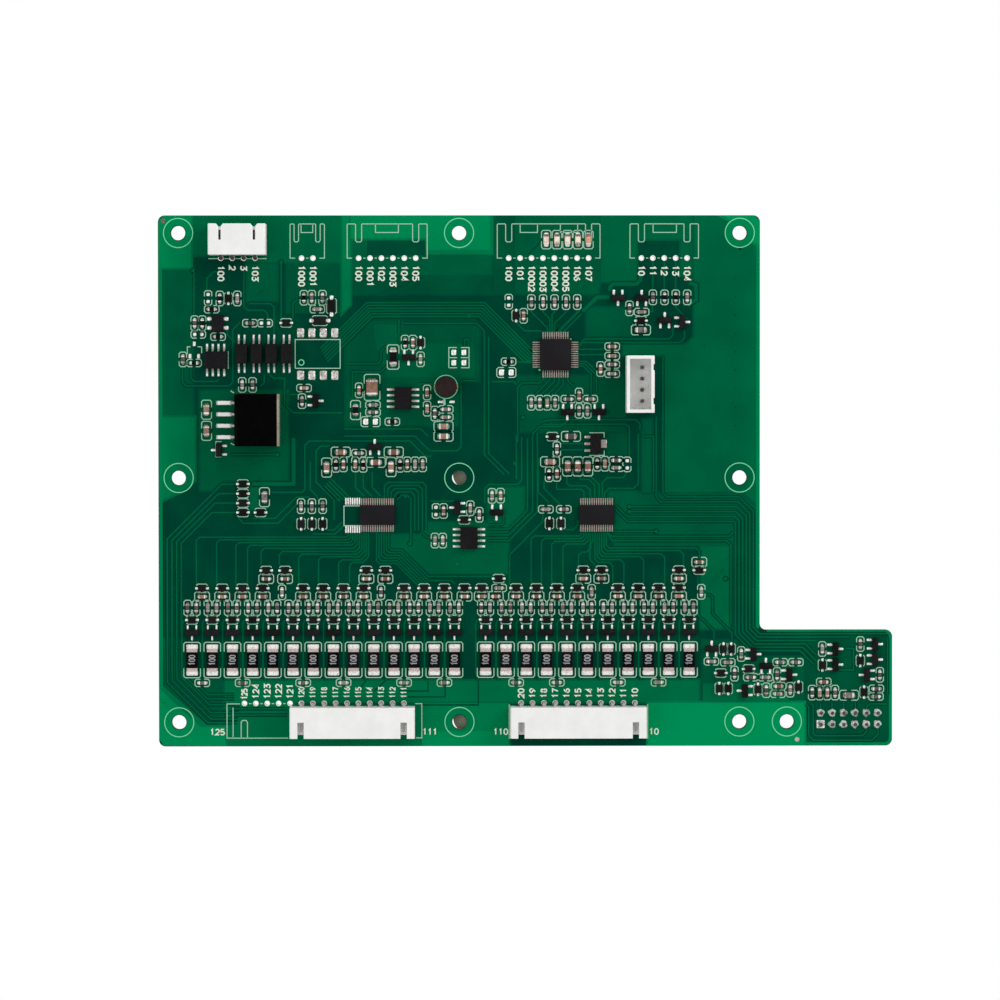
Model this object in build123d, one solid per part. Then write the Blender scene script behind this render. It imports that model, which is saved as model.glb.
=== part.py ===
from build123d import *

# Battery management board.
# A green two-sided circuit board with a tab at its lower right corner. Plug sockets stand along the
# two long edges, a bank of cell balancing circuits runs above the lower sockets, and two cell
# monitors, a controller, isolators and a supply module fill the middle. A double row of pins is
# soldered in the tab and leaves at the back.
# Millimetres. The origin is on the middle mounting hole's axis at the board's underside, +X runs
# towards the tab, +Y towards the upper sockets and +Z out of the component side.

import os

# Board outline and mounting holes
BOARD_THICKNESS = 1.6
HOLE_SPAN_X = 125.0
HOLE_SPAN_Y = 109.0
HOLE_DIAMETER = 3.2
SIDE_MARGIN = 4.5
TOP_MARGIN = 3.9
BOTTOM_MARGIN = 5.4
TAB_REACH = 29.6
TAB_WIDTH = 25.9
TAB_HOLE_STEP = 10.6
CORNER_RADIUS = 1.5

QUARTER_TURN = 90

LEFT_EDGE = -HOLE_SPAN_X / 2 - SIDE_MARGIN
RIGHT_EDGE = HOLE_SPAN_X / 2 + SIDE_MARGIN
TOP_EDGE = HOLE_SPAN_Y / 2 + TOP_MARGIN
BOTTOM_EDGE = -HOLE_SPAN_Y / 2 - BOTTOM_MARGIN

# Plug sockets with side entry, one along the upper edge and two along the lower edge
PIN_PITCH = 2.54
PIN_WIDTH = 0.64
OPEN_HOLE_DIAMETER = 1.0
OPEN_HOLE_SIDE_COUNT = 12
PIN_TAIL = 1.4
PIN_BEND_CHAMFER = 0.35
PIN_MOUTH_GAP = 1.3
TOP_PIN_ROW_INSET = 9.5
BOTTOM_PIN_ROW_INSET = 9.6
SOCKET_HEIGHT = 5.9
SOCKET_DEPTH = 6.9
SOCKET_SETBACK = 0.6
SOCKET_WALL = 0.8
SOCKET_BACK_WALL = 1.6
SOCKET_FLOOR_SETBACK = 0.5
SOCKET_EDGE_CHAMFER = 0.3
LATCH_SLOT_LENGTH = 3.6
CELL_SOCKET_END_MARGIN = 2.45
CELL_SLOT_WIDTH = 1.4
TOP_SOCKET_END_MARGIN = 2.6
TOP_SLOT_WIDTH = 0.55
TOP_SLOT_MOUTH_WIDTH = 1.5
TOP_SLOT_MOUTH_DEPTH = 0.6
TOP_SOCKET_HOLE_OFFSET = 9.5
TOP_SOCKET_PINS = 4
LOWER_ROW_FIRST_PIN = -47.95
LOWER_ROW_EMPTY_PINS = 5
LEFT_CELL_SOCKET_PINS = 10
RIGHT_CELL_FIRST_PIN = 13.75
RIGHT_CELL_SOCKET_PINS = 11
EMPTY_ROW_FIRST_PINS = [-35.05, -22.35, 11.05, 40.6]
EMPTY_ROW_PIN_COUNTS = [2, 6, 8, 5]

TOP_PIN_ROW = TOP_EDGE - TOP_PIN_ROW_INSET
BOTTOM_PIN_ROW = BOTTOM_EDGE + BOTTOM_PIN_ROW_INSET
TOP_SOCKET_FIRST_PIN = -HOLE_SPAN_X / 2 + TOP_SOCKET_HOLE_OFFSET
LEFT_CELL_FIRST_PIN = LOWER_ROW_FIRST_PIN + LOWER_ROW_EMPTY_PINS * PIN_PITCH
SOCKET_PIN_HEIGHT = SOCKET_HEIGHT / 2

# Upright socket right of the middle
UPRIGHT_PIN_PITCH = 2.5
UPRIGHT_PINS = 4
UPRIGHT_HEIGHT = 7.0
UPRIGHT_WIDTH = 6.2
UPRIGHT_END_MARGIN = 2.6
UPRIGHT_WALL = 0.75
UPRIGHT_FLOOR = 2.0
UPRIGHT_PIN_OFFSET = 0.5
UPRIGHT_PIN_RISE = 5.2
UPRIGHT_SLOT_WIDTH = 1.25
UPRIGHT_CENTRE = (40.15, 20.8)

# Double row of header pins that leaves the tab at the back
HEADER_COLUMN_COUNT = 6
HEADER_ROW_COUNT = 2
HEADER_BODY_HEIGHT = 2.5
HEADER_PIN_REACH = 6.0
HEADER_PIN_STUB = 0.8
HEADER_FIRST_COLUMN_INSET = 13.65
HEADER_LOWER_ROW_INSET = 4.8

# Lead frames
LEAD_THICKNESS = 0.15
BODY_CLEARANCE = 0.1
MOULD_DRAFT = 7.0

# Three-lead transistors
TRANSISTOR_LENGTH = 2.9
TRANSISTOR_WIDTH = 1.3
TRANSISTOR_HEIGHT = 1.0
TRANSISTOR_LEAD_WIDTH = 0.4
TRANSISTOR_LEAD_SPAN = 2.4
TRANSISTOR_LEAD_SPACING = 1.9

# Small and large two-lead diodes
SMALL_DIODE_LENGTH = 1.7
SMALL_DIODE_WIDTH = 1.3
SMALL_DIODE_HEIGHT = 0.9
LARGE_DIODE_LENGTH = 2.75
LARGE_DIODE_WIDTH = 1.6
LARGE_DIODE_HEIGHT = 1.1
LARGE_DIODE_SPAN = 3.7
LARGE_DIODE_LEAD_WIDTH = 0.6
BRIDGE_WIDTH = 3.7
BRIDGE_LEAD_SPACING = 2.0

# Chip resistors, capacitors and lamps as length, width and height
SMALL_CHIP_LENGTH = 1.6
SMALL_CHIP_WIDTH = 0.8
SMALL_RESISTOR_HEIGHT = 0.45
SMALL_CAPACITOR_HEIGHT = 0.8
LARGE_CHIP_LENGTH = 2.0
LARGE_CHIP_WIDTH = 1.25
LARGE_RESISTOR_HEIGHT = 0.55
LARGE_CAPACITOR_HEIGHT = 1.1
LAMP_HEIGHT = 0.8
SHUNT_RESISTOR_LENGTH = 3.2
SHUNT_RESISTOR_WIDTH = 1.6
BULK_CAPACITOR_LENGTH = 3.2
BULK_CAPACITOR_WIDTH = 2.5
BULK_CAPACITOR_HEIGHT = 1.7
BALANCE_RESISTOR_LENGTH = 5.0
BALANCE_RESISTOR_WIDTH = 2.5
BALANCE_RESISTOR_HEIGHT = 0.6

# Controller, square with fine leads on four sides
CONTROLLER_SIDE = 7.0
CONTROLLER_HEIGHT = 1.4
CONTROLLER_SPAN = 9.0
CONTROLLER_LEAD_PITCH = 0.5
CONTROLLER_LEAD_WIDTH = 0.22
CONTROLLER_LEADS_PER_SIDE = 12
CONTROLLER_CENTRE = (21.45, 27.4)

# Cell monitors, long with fine leads on two sides
MONITOR_LENGTH = 7.8
MONITOR_WIDTH = 4.4
MONITOR_HEIGHT = 1.0
MONITOR_SPAN = 6.4
MONITOR_LEAD_PITCH = 0.5
MONITOR_LEAD_WIDTH = 0.22
MONITOR_LEADS_PER_SIDE = 15
MONITOR_CENTRES = [(-18.25, -8.3), (30.6, -8.3)]

# Eight-lead driver chips
DRIVER_LENGTH = 4.95
DRIVER_WIDTH = 3.9
DRIVER_HEIGHT = 1.5
DRIVER_SPAN = 6.0
DRIVER_LEAD_PITCH = 1.27
DRIVER_LEAD_WIDTH = 0.42
DRIVER_LEADS_PER_SIDE = 4
DRIVER_PLACES = [(-54.2, 26.25, 0), (-12.5, 17.75, 90), (2.15, -13.4, 90)]

# Four-lead optical isolators
ISOLATOR_LENGTH = 2.6
ISOLATOR_WIDTH = 4.4
ISOLATOR_HEIGHT = 2.0
ISOLATOR_SPAN = 7.0
ISOLATOR_LEAD_PITCH = 1.27
ISOLATOR_LEAD_WIDTH = 0.4
ISOLATOR_LEADS_PER_SIDE = 2
ISOLATOR_ROW_Y = 27.65
ISOLATOR_ROW_X = [-48.4, -45.1, -41.8, -38.4]

# Foot of the chips' gull-wing leads
GULL_FOOT = 0.55

# Regulator with a wide cooling tab
REGULATOR_LENGTH = 4.5
REGULATOR_WIDTH = 2.4
REGULATOR_HEIGHT = 1.5
REGULATOR_LEAD_LENGTH = 1.1
REGULATOR_LEAD_WIDTH = 0.5
REGULATOR_LEAD_PITCH = 1.5
REGULATOR_TAB_WIDTH = 1.7
REGULATOR_CENTRE = (30.4, 7.55)

# Isolated supply module, lying flat with four bent leads
MODULE_LENGTH = 11.6
MODULE_WIDTH = 9.45
MODULE_HEIGHT = 6.0
MODULE_END_STRIP = 0.45
MODULE_EDGE_CHAMFER = 0.4
MODULE_LEAD_PITCH = 2.54
MODULE_LEADS = 4
MODULE_LEAD_WIDTH = 0.55
MODULE_LEAD_THICKNESS = 0.3
MODULE_LEAD_RUN = 3.9
MODULE_LEAD_FOOT = 2.6
MODULE_LEAD_SHOULDER = 0.4
MODULE_LEAD_HEIGHT = 0.9
MODULE_CENTRE = (-45.1, 12.9)

# Wound coil on a ferrite drum
COIL_DIAMETER = 4.7
COIL_HEIGHT = 3.2
COIL_FLANGE = 0.6
COIL_HUB_DIAMETER = 2.2
COIL_WINDING_INSET = 0.3
COIL_FOOT_THICKNESS = 0.15
COIL_FOOT_LENGTH = 1.3
COIL_FOOT_WIDTH = 1.5
COIL_CENTRE = (-2.95, 20.25)

# Bank of balancing circuits, one column for each cell, in two groups over the lower sockets
LEFT_CELLS = 14
RIGHT_CELLS = 11
BANK_LEFT_INSET = 2.9
BANK_RIGHT_INSET = 11.25
BANK_MIDDLE_GAP = 6.95
LEFT_BANK_SHARE = 0.563
BALANCE_ROW_INSET = 19.3
TRANSISTOR_ROW_INSET = 25.4
GATE_DIODE_ROW_INSET = 28.25
GATE_RESISTOR_ROW_INSET = 30.95
GATE_RESISTOR_SPACING = 1.94
FILTER_CAPACITOR_ROW_INSET = 33.45
FILTER_DIODE_ROW_INSET = 35.3
RAISED_STEP = 3.95
LINK_RESISTOR_ROW_INSET = 14.2
SERIES_RESISTOR_ROW_INSET = 34.4
FIRST_FILTER_SHIFT = -0.85
LAST_FILTER_RISE = 1.8
LONE_DIODE_SHIFT = 0.65
LONE_DIODE_RISE = 2.1
LONE_RESISTOR_SHIFT = 0.75

BANK_LENGTH = HOLE_SPAN_X - BANK_LEFT_INSET - BANK_RIGHT_INSET - BANK_MIDDLE_GAP
LEFT_FIRST_CELL = -HOLE_SPAN_X / 2 + BANK_LEFT_INSET
LEFT_CELL_PITCH = BANK_LENGTH * LEFT_BANK_SHARE / (LEFT_CELLS - 1)
RIGHT_CELL_PITCH = BANK_LENGTH * (1 - LEFT_BANK_SHARE) / (RIGHT_CELLS - 1)
RIGHT_FIRST_CELL = HOLE_SPAN_X / 2 - BANK_RIGHT_INSET - RIGHT_CELL_PITCH * (RIGHT_CELLS - 1)

# Columns of each group, counted from the left, that have filter parts in the lower row, link
# resistors, filter parts in the raised row and series resistors. The last two stand off the columns.
LEFT_LOW_COLUMNS = [0, 1, 2, 3, 5, 6, 7, 8, 10, 11, 12, 13]
RIGHT_LOW_COLUMNS = [1, 2, 3, 4, 6, 7, 8, 9]
LEFT_LINK_COLUMNS = [0, 2, 5, 7, 10, 12]
RIGHT_LINK_COLUMNS = [1, 3, 6, 8]
LEFT_RAISED_COLUMNS = [3.68, 4.61, 8.64, 9.58]
RIGHT_RAISED_COLUMNS = [4.8, 5.69, 9.5]
LEFT_SERIES_COLUMNS = [4.46, 9.36]
RIGHT_SERIES_COLUMNS = [5.21, 10.6]

# Places of the loose small parts, read as (x, y) of each centre. "Upright" parts have their long
# side along Y and "flat" ones along X.
LAMP_ROW_INSET = 5.4
LAMP_COLUMNS = [19.4, 21.8, 24.15, 26.45, 28.8]

SUPPLY_RESISTORS_UPRIGHT = [
    (-53.25, 39.95), (-49.35, 39.95), (-58.85, 34.45), (-57.15, 34.45), (-61.5, 26.4),
    (-48.3, 20.7), (-46.0, 20.7), (-34.55, 40.1), (-32.8, 40.1), (-30.4, 40.1), (-35.0, 17.1),
]
SUPPLY_RESISTORS_FLAT = [
    (-55.05, 37.55), (-53.65, 31.45), (-46.55, 34.45), (-59.0, 25.6), (-31.55, 37.55),
]
DRIVER_RESISTORS_UPRIGHT = [(-12.05, 30.1), (-8.6, 26.4), (-5.45, 14.3)]
DRIVER_RESISTORS_FLAT = [
    (-19.2, 16.25), (-19.2, 14.6), (-3.0, 15.25), (-3.0, 13.5), (-14.9, 12.5),
]
CONTROLLER_RESISTORS_UPRIGHT = [
    (16.1, 39.1), (18.7, 39.1), (21.25, 39.1), (23.8, 39.1), (26.3, 39.1),
    (16.05, 16.7), (17.95, 16.7), (21.35, 16.7), (26.7, 14.9), (28.55, 14.9),
]
CONTROLLER_RESISTORS_FLAT = [
    (11.0, 25.85), (24.3, 17.5), (29.2, 17.5), (34.1, 25.2), (34.1, 23.15),
]
INTERFACE_RESISTORS_UPRIGHT = [
    (37.95, 37.7), (43.15, 40.15), (45.75, 40.15), (48.25, 40.15), (50.8, 40.15),
]
INTERFACE_RESISTORS_FLAT = [(40.65, 36.9)]
MONITOR_RESISTORS_UPRIGHT = [
    (-35.25, -6.3), (-32.85, -6.3), (-30.45, -6.3), (-27.5, 2.9), (-21.4, 2.9), (-13.2, 2.9),
    (-9.85, 3.0), (-8.15, 3.0), (2.45, -6.8), (4.45, -8.25), (-5.45, -14.0), (-3.7, -14.0),
    (7.3, -4.05), (21.75, 6.35), (20.0, 0.75), (30.75, 3.1),
]
MONITOR_RESISTORS_FLAT = [
    (-22.35, 5.5), (35.0, 3.85), (35.0, 2.2), (19.3, -7.05), (23.3, -7.05),
]
SMALL_CAPACITORS_UPRIGHT = [
    (-22.3, 19.5), (-10.3, 30.1), (-7.15, 19.0), (-7.15, 15.4), (14.35, 36.05), (19.6, 16.7),
    (26.7, 18.3), (-25.8, 3.0), (-23.15, 3.0), (-11.6, 3.0), (-3.5, -7.4), (9.2, -4.0),
    (21.75, 0.85), (32.45, 3.1), (31.5, 24.2),
]
SMALL_CAPACITORS_FLAT = [(-34.55, 20.0), (34.1, 29.2), (34.1, 27.1)]
LARGE_CAPACITORS_UPRIGHT = [
    (-56.25, 15.2), (-56.25, 10.5), (-29.55, 2.3), (-15.2, 2.4), (24.15, 2.5), (26.4, 2.5),
    (28.65, 2.5),
]
LARGE_CAPACITORS_FLAT = [
    (-3.5, 11.45), (-3.5, 9.25), (-26.4, 5.75), (-18.6, 3.45), (-14.6, 5.75), (20.25, 3.55),
]
LARGE_RESISTORS_UPRIGHT = [(-43.4, -4.3), (-23.1, 15.1)]
LARGE_RESISTORS_FLAT = [(24.9, 9.2), (40.5, 32.9)]
SHUNT_RESISTOR_CENTRE = (-14.7, 26.9)
BULK_CAPACITOR_CENTRE = (-19.4, 20.15)
SMALL_DIODES_UPRIGHT = [
    (-51.35, 39.95), (-8.6, 30.1), (12.7, 36.1), (-35.25, -10.25), (-32.85, -10.25),
    (-30.45, -10.25), (20.1, -10.2), (22.65, -10.2),
]
SMALL_DIODES_FLAT = [
    (-38.5, 34.5), (40.5, 34.95), (20.75, 9.15), (-48.2, -1.35), (-48.2, -3.5), (-48.2, -5.6),
    (-48.2, -7.7), (-44.3, -7.7), (1.1, -9.4),
]
LARGE_DIODES_UPRIGHT = [(-28.4, 38.25)]
LARGE_DIODES_FLAT = [(-31.0, 35.0)]
BRIDGE_CENTRE = (-53.7, 34.4)

# Transistors as (x, y, turn). Turn 0 has the lead pair towards +Y, 90 towards -X, 180 towards -Y
# and 270 towards +X.
CIRCUIT_TRANSISTORS = [
    (-32.0, 17.15, 90), (-53.5, 6.2, 270), (-11.25, 26.8, 0), (24.1, 14.6, 0), (31.15, 14.6, 0),
    (35.4, 40.05, 0), (40.65, 40.0, 180), (45.8, 35.05, 180), (49.7, 34.65, 90),
    (-18.85, 6.85, 180), (-0.45, -6.65, 270), (8.3, -7.75, 0),
]

# Parts round the tab, as (x, y) from the corner where the main board's right and lower edges meet
TAB_ORIGIN = (RIGHT_EDGE, BOTTOM_EDGE)
TAB_RESISTORS_UPRIGHT = [
    (-4.1, 20.5), (-5.6, 16.1), (3.9, 15.8), (1.5, 12.4), (6.85, 12.5), (14.0, 21.6),
    (22.5, 22.7), (26.85, 15.8), (11.75, 11.85), (16.85, 11.85),
]
TAB_RESISTORS_FLAT = [
    (-10.75, 18.85), (-7.1, 18.65), (-1.95, 15.3), (1.3, 15.3), (4.6, 18.65), (8.1, 18.65),
    (4.1, 11.6), (26.1, 12.7), (26.0, 10.95),
]
TAB_CAPACITORS_UPRIGHT = [(13.4, 11.85), (15.1, 11.85)]
TAB_CAPACITORS_FLAT = [(4.25, 13.3), (14.35, 14.25)]
TAB_LARGE_RESISTORS_FLAT = [(20.0, 11.25)]
TAB_DIODES_UPRIGHT = [
    (-8.05, 21.6), (-6.35, 21.6), (-9.0, 12.8), (-7.0, 12.8), (-0.35, 12.6), (8.7, 13.1),
    (14.05, 18.0), (22.5, 19.0), (23.35, 11.95),
]
TAB_DIODES_FLAT = [(-8.65, 16.25), (-2.45, 17.15)]
TAB_TRANSISTORS = [
    (-10.7, 21.7, 180), (-1.4, 20.45, 90), (1.4, 17.85, 180), (6.6, 15.85, 90),
    (-3.3, 12.3, 270), (16.9, 21.6, 90), (16.9, 18.1, 90), (25.75, 22.65, 90),
    (25.75, 19.2, 90), (23.95, 15.8, 270),
]


def at_board(solid, x, y, turn=0):
    """Turn a solid that stands on its own zero plane and set it down on the board's upper face."""
    return Pos(x, y, BOARD_THICKNESS) * Rot(0, 0, turn) * solid


def upright(places):
    """Give every place a quarter turn, so that long sides run along Y."""
    return [(x, y, QUARTER_TURN) for x, y in places]


def flat(places):
    """Give every place no turn, so that long sides run along X."""
    return [(x, y, 0) for x, y in places]


def from_tab(places):
    """Shift places given from the tab's corner into the board's frame."""
    return [(TAB_ORIGIN[0] + x, TAB_ORIGIN[1] + y, turn) for x, y, turn in places]


def write_node(name, shapes):
    """Write one sub-part, as a group where it is several separate solids."""
    solids = [solid for shape in shapes for solid in shape.solids()]
    whole = solids[0] if len(solids) == 1 else Compound(solids)
    export_step(whole, f"parts/{name}.step")
    print(f"{name}: {len(solids)} solid(s)")


def chip(length, width, height):
    """A chip part: one fired block, its long side along X, standing on the zero plane."""
    return extrude(Rectangle(length, width), height)


def moulded_body(length, width, height, bottom=BODY_CLEARANCE):
    """A moulded case that narrows upwards from its seat by the draft of its mould."""
    base = Pos(0, 0, bottom) * Rectangle(length, width)
    return extrude(base, height - bottom, taper=MOULD_DRAFT)


def parted_body(length, width, height, parting):
    """A moulded case that narrows both ways from its parting plane, where the leads leave it."""
    plane = Pos(0, 0, parting) * Rectangle(length, width)
    upper = extrude(plane, height - parting, taper=MOULD_DRAFT)
    lower = extrude(plane, BODY_CLEARANCE - parting, taper=MOULD_DRAFT)
    return upper + lower


def strip_from_profile(points, width):
    """A strip of even width, bent along an outline drawn in X and Z."""
    outline = make_face(Plane.XZ * Polyline(*points, close=True))
    return extrude(outline, width / 2, both=True)


def gull_lead(run, rise, width, foot, thickness, shoulder=0.0):
    """A gull-wing lead from the case's side at x = 0: out, down a slope and along a flat foot."""
    knee = run - foot
    outline = [(0, rise), (knee, 0), (run, 0), (run, thickness), (knee + thickness / 2, thickness)]
    if shoulder > 0:
        outline.insert(1, (shoulder, rise))
        outline.append((shoulder + thickness / 2, rise + thickness))
    outline.append((0, rise + thickness))
    return strip_from_profile(outline, width)


def flat_lead(inner, outer, width):
    """A straight flat lead along X, lying on the board beside its case."""
    blank = extrude(Rectangle(outer - inner, width), LEAD_THICKNESS)
    return Pos((inner + outer) / 2, 0, 0) * blank


def lead_rows(lead, side, pitch, count):
    """Two facing rows of leads that point along +Y and -Y from a case's long sides."""
    rows = []
    for index in range(count):
        x = (index - (count - 1) / 2) * pitch
        rows.append(Pos(x, side, 0) * Rot(0, 0, QUARTER_TURN) * lead)
        rows.append(Pos(x, -side, 0) * Rot(0, 0, -QUARTER_TURN) * lead)
    return rows


def set_down(shapes, places):
    """Copy a list of shapes to each place on the board."""
    return [at_board(shape, x, y, turn) for x, y, turn in places for shape in shapes]


def pin_positions(first, count, row, pitch=PIN_PITCH):
    """Centres of a straight row of pins that starts at x = first."""
    return [(first + index * pitch, row) for index in range(count)]


def header_positions():
    """Centres of the back header's pins, counted from the tab's corner."""
    left = TAB_ORIGIN[0] + HEADER_FIRST_COLUMN_INSET
    low = TAB_ORIGIN[1] + HEADER_LOWER_ROW_INSET
    return [
        (left + column * PIN_PITCH, low + row * PIN_PITCH)
        for row in range(HEADER_ROW_COUNT)
        for column in range(HEADER_COLUMN_COUNT)
    ]


def upright_socket_positions():
    """Centres of the upright socket's pins, in a line along Y."""
    x, y = UPRIGHT_CENTRE
    half = (UPRIGHT_PINS - 1) / 2
    return [
        (x + UPRIGHT_PIN_OFFSET, y + (index - half) * UPRIGHT_PIN_PITCH)
        for index in range(UPRIGHT_PINS)
    ]


def mounting_positions():
    """Centres of the nine mounting holes of the main board and the one in the tab."""
    grid = [
        (column * HOLE_SPAN_X / 2, row * HOLE_SPAN_Y / 2)
        for row in (-1, 0, 1)
        for column in (-1, 0, 1)
    ]
    return grid + [(HOLE_SPAN_X / 2 + TAB_HOLE_STEP, -HOLE_SPAN_Y / 2)]


def open_hole_positions():
    """Centres of the plated holes that were left without a plug socket."""
    places = pin_positions(LOWER_ROW_FIRST_PIN, LOWER_ROW_EMPTY_PINS, BOTTOM_PIN_ROW)
    for first, count in zip(EMPTY_ROW_FIRST_PINS, EMPTY_ROW_PIN_COUNTS):
        places += pin_positions(first, count, TOP_PIN_ROW)
    return places


def soldered_pin_positions():
    """Centres of the pins that go through the board and are soldered in."""
    places = pin_positions(TOP_SOCKET_FIRST_PIN, TOP_SOCKET_PINS, TOP_PIN_ROW)
    places += pin_positions(LEFT_CELL_FIRST_PIN, LEFT_CELL_SOCKET_PINS, BOTTOM_PIN_ROW)
    places += pin_positions(RIGHT_CELL_FIRST_PIN, RIGHT_CELL_SOCKET_PINS, BOTTOM_PIN_ROW)
    return places + upright_socket_positions() + header_positions()


def circuit_board():
    """The bare board with its holes. Soldered pins have openings of their own size, because
    solder fills the rest of their holes. Open plated holes are cut as even polygons."""
    tab_end = RIGHT_EDGE + TAB_REACH
    tab_top = BOTTOM_EDGE + TAB_WIDTH
    corners = [
        (LEFT_EDGE, BOTTOM_EDGE), (tab_end, BOTTOM_EDGE), (tab_end, tab_top),
        (RIGHT_EDGE, tab_top), (RIGHT_EDGE, TOP_EDGE), (LEFT_EDGE, TOP_EDGE),
    ]
    outline = make_face(Polyline(*corners, close=True))
    outline = fillet(outline.vertices(), CORNER_RADIUS)
    open_hole = RegularPolygon(OPEN_HOLE_DIAMETER / 2, OPEN_HOLE_SIDE_COUNT)
    drills = [Pos(x, y) * Circle(HOLE_DIAMETER / 2) for x, y in mounting_positions()]
    drills += [Pos(x, y) * open_hole for x, y in open_hole_positions()]
    drills += [Pos(x, y) * Rectangle(PIN_WIDTH, PIN_WIDTH) for x, y in soldered_pin_positions()]
    return extrude(outline - drills, BOARD_THICKNESS)


def socket_length(pins, end_margin):
    """Length of a side-entry socket over its end walls."""
    return (pins - 1) * PIN_PITCH + 2 * end_margin


def socket_shell(pins, end_margin):
    """A side-entry housing with its pin row on the X axis and its mouth towards -Y."""
    length = socket_length(pins, end_margin)
    back = -SOCKET_SETBACK
    front = back - SOCKET_DEPTH
    middle = (back + front) / 2
    shell = Pos(0, middle, SOCKET_HEIGHT / 2) * Box(length, SOCKET_DEPTH, SOCKET_HEIGHT)
    top_ends = shell.edges().filter_by(Axis.Y).group_by(Axis.Z)[-1]
    shell = chamfer(top_ends, SOCKET_EDGE_CHAMFER)
    cavity_depth = SOCKET_DEPTH - SOCKET_BACK_WALL
    cavity = Box(length - 2 * SOCKET_WALL, cavity_depth, SOCKET_HEIGHT - 2 * SOCKET_WALL)
    shell -= Pos(0, front + cavity_depth / 2, SOCKET_HEIGHT / 2) * cavity
    lip = Box(length - 2 * SOCKET_WALL, 2 * SOCKET_FLOOR_SETBACK, 2 * SOCKET_WALL)
    shell -= Pos(0, front, 0) * lip
    passage = Box(PIN_WIDTH, 2 * SOCKET_BACK_WALL, PIN_WIDTH)
    for x in row_offsets(pins):
        shell -= Pos(x, back, SOCKET_PIN_HEIGHT) * passage
    return shell


def row_offsets(pins):
    """X of each pin in a row, measured from the row's middle."""
    return [(index - (pins - 1) / 2) * PIN_PITCH for index in range(pins)]


def latch_slot(width):
    """Cutter for a latch slot through a side-entry housing's top wall, open at the mouth."""
    front = -SOCKET_SETBACK - SOCKET_DEPTH
    cutter = Box(width, 2 * LATCH_SLOT_LENGTH, 2 * SOCKET_WALL)
    return Pos(0, front, SOCKET_HEIGHT) * cutter


def slot_mouth():
    """Cutter for the sloped lead-in at the mouth of a narrow latch slot."""
    front = -SOCKET_SETBACK - SOCKET_DEPTH
    half_mouth = TOP_SLOT_MOUTH_WIDTH / 2
    half_slot = TOP_SLOT_WIDTH / 2
    outline = [
        (-half_mouth, front), (half_mouth, front), (half_slot, front + TOP_SLOT_MOUTH_DEPTH),
        (-half_slot, front + TOP_SLOT_MOUTH_DEPTH),
    ]
    face = Pos(0, 0, SOCKET_HEIGHT - SOCKET_WALL) * make_face(Polyline(*outline, close=True))
    return extrude(face, SOCKET_WALL)


def cell_socket_housing(pins):
    """A cell socket: two wide latch slots, over its first and its last pin."""
    shell = socket_shell(pins, CELL_SOCKET_END_MARGIN)
    ends = row_offsets(pins)
    for x in (ends[0], ends[-1]):
        shell -= Pos(x, 0, 0) * latch_slot(CELL_SLOT_WIDTH)
    return shell


def top_socket_housing(pins):
    """The upper socket: two narrow latch slots that flare at the mouth."""
    shell = socket_shell(pins, TOP_SOCKET_END_MARGIN)
    ends = row_offsets(pins)
    for x in (ends[0], ends[-1]):
        shell -= Pos(x, 0, 0) * latch_slot(TOP_SLOT_WIDTH)
        shell -= Pos(x, 0, 0) * slot_mouth()
    return shell


def bent_pin():
    """A square pin that runs out of the cavity, through the back wall and down to its tail."""
    half = PIN_WIDTH / 2
    tip = -(SOCKET_SETBACK + SOCKET_DEPTH - PIN_MOUTH_GAP)
    low = -BOARD_THICKNESS - PIN_TAIL
    top = SOCKET_PIN_HEIGHT + half
    outline = [
        (tip, top), (tip, top - PIN_WIDTH), (-half, top - PIN_WIDTH), (-half, low), (half, low),
        (half, top - PIN_BEND_CHAMFER), (half - PIN_BEND_CHAMFER, top),
    ]
    return Rot(0, 0, QUARTER_TURN) * strip_from_profile(outline, PIN_WIDTH)


def socket_pins(pins):
    """A row of bent pins, its middle at the origin."""
    return [Pos(x, 0, 0) * bent_pin() for x in row_offsets(pins)]


def write_side_sockets():
    """Write the housings and pins of the three side-entry sockets."""
    rows = [
        ("upper_socket", top_socket_housing, TOP_SOCKET_PINS, TOP_SOCKET_FIRST_PIN,
         TOP_PIN_ROW, 180),
        ("left_cell_socket", cell_socket_housing, LEFT_CELL_SOCKET_PINS, LEFT_CELL_FIRST_PIN,
         BOTTOM_PIN_ROW, 0),
        ("right_cell_socket", cell_socket_housing, RIGHT_CELL_SOCKET_PINS, RIGHT_CELL_FIRST_PIN,
         BOTTOM_PIN_ROW, 0),
    ]
    for name, housing, pins, first, row, turn in rows:
        place = [(first + (pins - 1) * PIN_PITCH / 2, row, turn)]
        write_node(f"{name}_housing", set_down([housing(pins)], place))
        write_node(f"{name}_pins", set_down(socket_pins(pins), place))


def upright_housing():
    """The upright socket's open box, with two slots in the wall that faces the plug's latches."""
    length = (UPRIGHT_PINS - 1) * UPRIGHT_PIN_PITCH + 2 * UPRIGHT_END_MARGIN
    shell = extrude(Rectangle(UPRIGHT_WIDTH, length), UPRIGHT_HEIGHT)
    inside = Rectangle(UPRIGHT_WIDTH - 2 * UPRIGHT_WALL, length - 2 * UPRIGHT_WALL)
    shell -= extrude(Pos(0, 0, UPRIGHT_FLOOR) * inside, UPRIGHT_HEIGHT)
    slot_height = UPRIGHT_HEIGHT - UPRIGHT_FLOOR
    slot = Box(UPRIGHT_WALL, UPRIGHT_SLOT_WIDTH, slot_height)
    for y in upright_offsets():
        shell -= Pos(UPRIGHT_PIN_OFFSET, y, 0) * Box(PIN_WIDTH, PIN_WIDTH, 2 * UPRIGHT_HEIGHT)
    for y in (upright_offsets()[0], upright_offsets()[-1]):
        shell -= Pos(UPRIGHT_WIDTH / 2, y, UPRIGHT_HEIGHT - slot_height / 2) * slot
    return shell


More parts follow.
